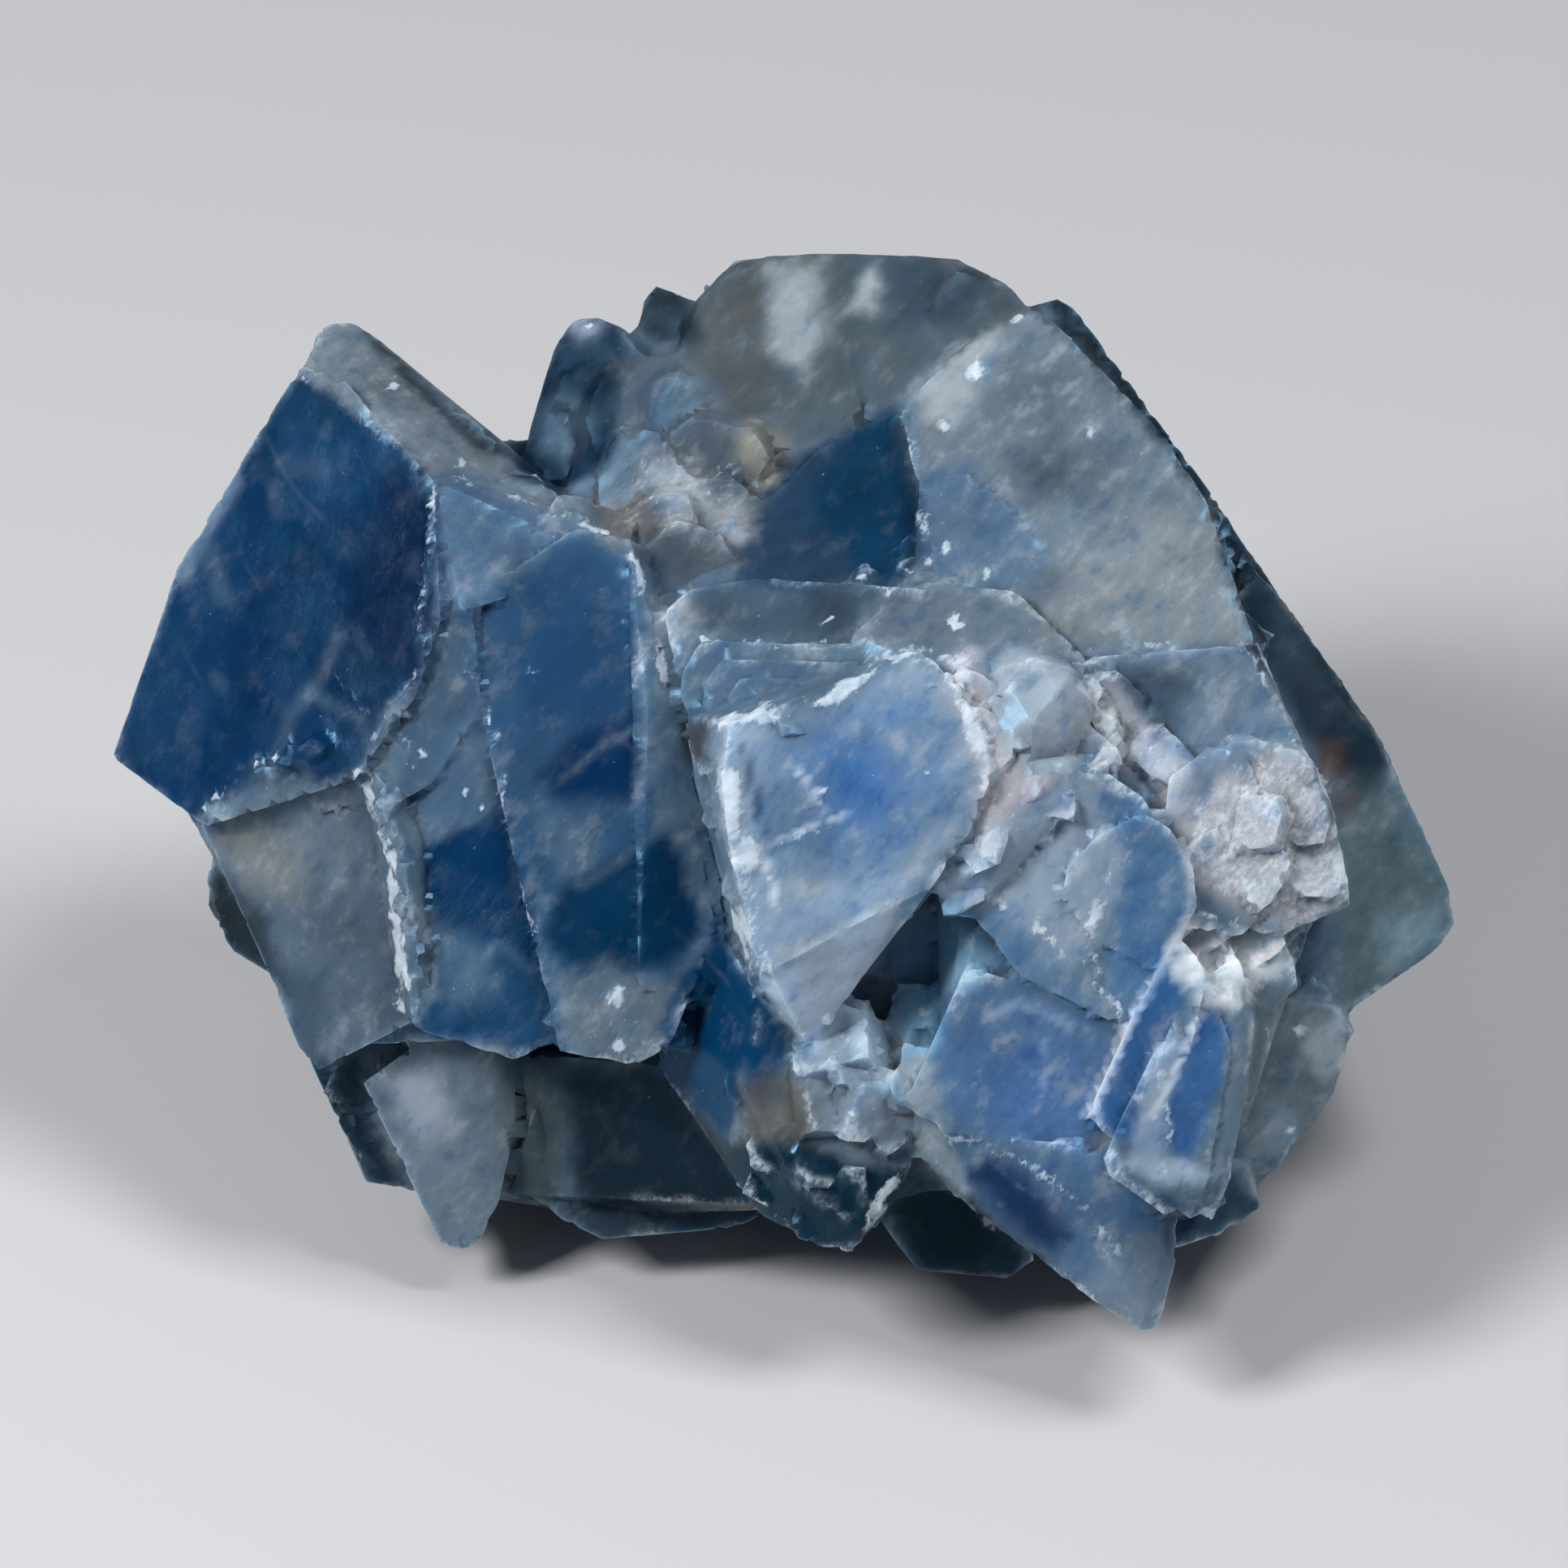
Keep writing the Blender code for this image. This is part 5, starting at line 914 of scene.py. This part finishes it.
def cloudy_planes(nodes, place):
    """Thin cloudy planes inside the stone, side by side along a direction."""
    along = nodes.add("ShaderNodeVectorMath", operation="DOT_PRODUCT")
    nodes.link(place, along.inputs[0])
    along.inputs[1].default_value = Vector(PLANE_DIRECTION).normalized() / (PLANE_SPACING * MM)
    wobble = nodes.math("MULTIPLY", nodes.noise(place, size=14.0, detail=1.0), 1.1)
    phase = nodes.math("FRACT", nodes.math("ADD", along.outputs["Value"], wobble))
    away = nodes.math("ABSOLUTE", nodes.math("SUBTRACT", phase, 0.5))
    line = nodes.ramp(away, 0.0, PLANE_WIDTH, bottom=1.0, top=0.0)
    patch = nodes.ramp(nodes.noise(place, size=4.5, detail=2.0), 0.50, 0.64)
    return nodes.math("MULTIPLY", line, patch)


def clouded(nodes, place, tint, paleness, streaks):
    """The painted tint with streaks, mottles, haze and cloudy planes in it."""
    cloud = nodes.noise(place, size=5.0, detail=5.0, roughness=0.5)
    cloudy = nodes.ramp(cloud, 0.3, 0.7, bottom=-0.16, top=0.16)
    streaky = nodes.ramp(streaks, 0.3, 0.7, bottom=0.92, top=1.08)
    varied = nodes.mix(1.0, tint, nodes.math("ADD", cloudy, streaky), "MULTIPLY")

    mottle = nodes.cleavage_noise(place, MOTTLE_SIZES, detail=6.0, roughness=0.64)
    body = nodes.ramp(paleness, 0.02, 0.20, bottom=0.15, top=1.0)
    bluer = nodes.math("MULTIPLY", nodes.ramp(mottle, 0.30, 0.50, bottom=0.75, top=0.0), body)
    paler = nodes.math("MULTIPLY", nodes.ramp(mottle, 0.50, 0.74, bottom=0.0, top=0.60), body)
    deepened = nodes.mix(bluer, varied, BLUER, "MULTIPLY")
    mottled = nodes.mix(paler, deepened, linear(PALE))

    haze = nodes.ramp(cloud, 0.45, 0.85, bottom=0.0, top=0.14)
    hazed = nodes.mix(haze, mottled, linear(WINDOW))
    planes = nodes.math("MULTIPLY", cloudy_planes(nodes, place), PLANE_STRENGTH)
    return nodes.mix(planes, hazed, linear(PALE))


def crushed_white(nodes, place, grain):
    """How white frost, rims and specks make the stone."""
    frost = nodes.math("MULTIPLY", nodes.attribute("frost"), 1.3)
    flecked = nodes.math("ADD", frost, nodes.math("MULTIPLY", grain, 1.5))
    crushed = nodes.ramp(flecked, 1.26, 1.62)
    ridge = nodes.ramp(nodes.attribute("ridge"), 0.15, 0.85)
    rim = nodes.math("MULTIPLY", ridge, nodes.ramp(grain, 0.40, 0.62, bottom=0.22, top=0.90))
    fine = nodes.noise(place, size=0.26, detail=1.0, roughness=0.5)
    speck = nodes.ramp(fine, 0.78, 0.84, bottom=0.0, top=0.35)
    return nodes.math("MAXIMUM", nodes.math("MAXIMUM", crushed, rim), speck)


def whitened_and_shaded(nodes, place, colour, white):
    """A colour with chalk laid over it, and with painted shade darkening it in the hollows."""
    mixed = nodes.noise(place, size=0.9, detail=3.0)
    chalk = nodes.mix(mixed, linear(CHALK), linear(HAZE))
    frosted = nodes.mix(nodes.math("MULTIPLY", white, 0.78), colour, chalk)
    # Painted shade: the colour is multiplied towards a dark tint in the hollows
    hollow = nodes.ramp(nodes.attribute("cavity"), 0.2, 1.0, bottom=0.0, top=0.25)
    return nodes.mix(hollow, frosted, linear(HOLLOW_SHADE), "MULTIPLY")


def surface_roughness(nodes, place, white):
    """Glossy cleavage, duller where it is white or worn."""
    gloss = nodes.ramp(nodes.noise(place, size=1.8, detail=4.0), 0.3, 0.7, bottom=0.17, top=0.27)
    frosted = nodes.math("MULTIPLY", white, 0.25)
    worn = nodes.math("MULTIPLY", nodes.attribute("worn"), 0.45)
    return nodes.math("ADD", gloss, nodes.math("ADD", frosted, worn))


def fine_bumps(nodes, grain, streaks):
    """Crumbs in the frost and faint steps along the cleavage."""
    frosty = nodes.ramp(nodes.attribute("frost"), 0.1, 0.8, bottom=0.20, top=1.0)
    crumbs = nodes.math("MULTIPLY", grain, frosty)
    steps = nodes.math("MULTIPLY", streaks, 0.15)
    bump = nodes.add("ShaderNodeBump")
    set_inputs(bump, {"Strength": BUMP_STRENGTH, "Distance": BUMP_DISTANCE})
    nodes.link(nodes.math("ADD", crumbs, steps), bump.inputs["Height"])
    return bump.outputs["Normal"]


def stone_material():
    """Cloudy calcite: clear where it is deep blue, scattering where it is pale, white where it is crushed."""
    material = bpy.data.materials.new("cloudy_blue_calcite")
    nodes = Nodes(material)
    place = nodes.add("ShaderNodeTexCoord").outputs["Object"]
    tint = nodes.attribute("tint", "Color")
    grey = nodes.add("ShaderNodeRGBToBW")
    nodes.link(tint, grey.inputs[0])
    paleness = grey.outputs[0]
    streaks = nodes.cleavage_noise(place, STREAK_SIZES, detail=3.0, roughness=0.6)
    grain = nodes.cleavage_noise(place, GRAIN_SIZES, detail=5.0, roughness=0.72)

    white = crushed_white(nodes, place, grain)
    colour = clouded(nodes, place, tint, paleness, streaks)
    clear = nodes.ramp(paleness, 0.02, 0.30, bottom=0.55, top=0.12)
    looks = {
        "Base Color": whitened_and_shaded(nodes, place, colour, white),
        "Transmission Weight": nodes.math("MULTIPLY", clear, nodes.math("SUBTRACT", 1.0, white)),
        "Roughness": surface_roughness(nodes, place, white),
        "Normal": fine_bumps(nodes, grain, streaks),
    }
    for name, source in looks.items():
        nodes.link(source, nodes.shader.inputs[name])
    set_inputs(nodes.shader, STONE_SHADER)
    return material


def floor_material():
    material = bpy.data.materials.new("pale_floor")
    set_inputs(Nodes(material).shader, FLOOR_SHADER)
    return material


def add_floor():
    mesh = bpy.data.meshes.new("floor")
    corners = [(-1, -1), (1, -1), (1, 1), (-1, 1)]
    mesh.from_pydata([(x * FLOOR_HALF, y * FLOOR_HALF, 0) for x, y in corners], [], [(0, 1, 2, 3)])
    mesh.materials.append(floor_material())
    floor = add_object("floor", mesh)


def add_softbox(name, towards, distance, size, power):
    """A square soft light at a direction given in the viewer's frame, facing the stone."""
    light = bpy.data.lights.new(name, "AREA")
    light.shape = "SQUARE"
    light.size = size
    light.energy = power
    lamp = add_object(name, light)
    direction = (FROM_VIEW @ Vector(towards)).normalized()
    lamp.location = Vector(STONE_MIDDLE) + direction * distance
    lamp.rotation_euler = (-direction).to_track_quat("-Z", "Y").to_euler()


def add_lights():
    for lamp in LAMPS:
        add_softbox(*lamp)
    world = bpy.data.worlds.new("studio")
    world.use_nodes = True
    set_inputs(world.node_tree.nodes["Background"], SKY_LIGHT)
    bpy.context.scene.world = world


def add_camera():
    data = bpy.data.cameras.new("camera")
    data.lens = LENS
    data.sensor_width = SENSOR
    data.clip_start = CLIP_START
    data.clip_end = CLIP_END
    camera = add_object("camera", data)
    distance = FRAME_WIDTH / 2 * MM * LENS / (SENSOR / 2)
    camera.location = from_view(CAMERA_AIM) + FROM_VIEW @ Vector((0, 0, distance))
    camera.rotation_euler = FROM_VIEW.to_euler()
    bpy.context.scene.camera = camera


stone = build_stone()
stone.data.materials.append(stone_material())
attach(stone, "root")
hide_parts("calcite")
add_floor()
add_lights()
add_camera()
bpy.context.scene.view_settings.view_transform = "Standard"
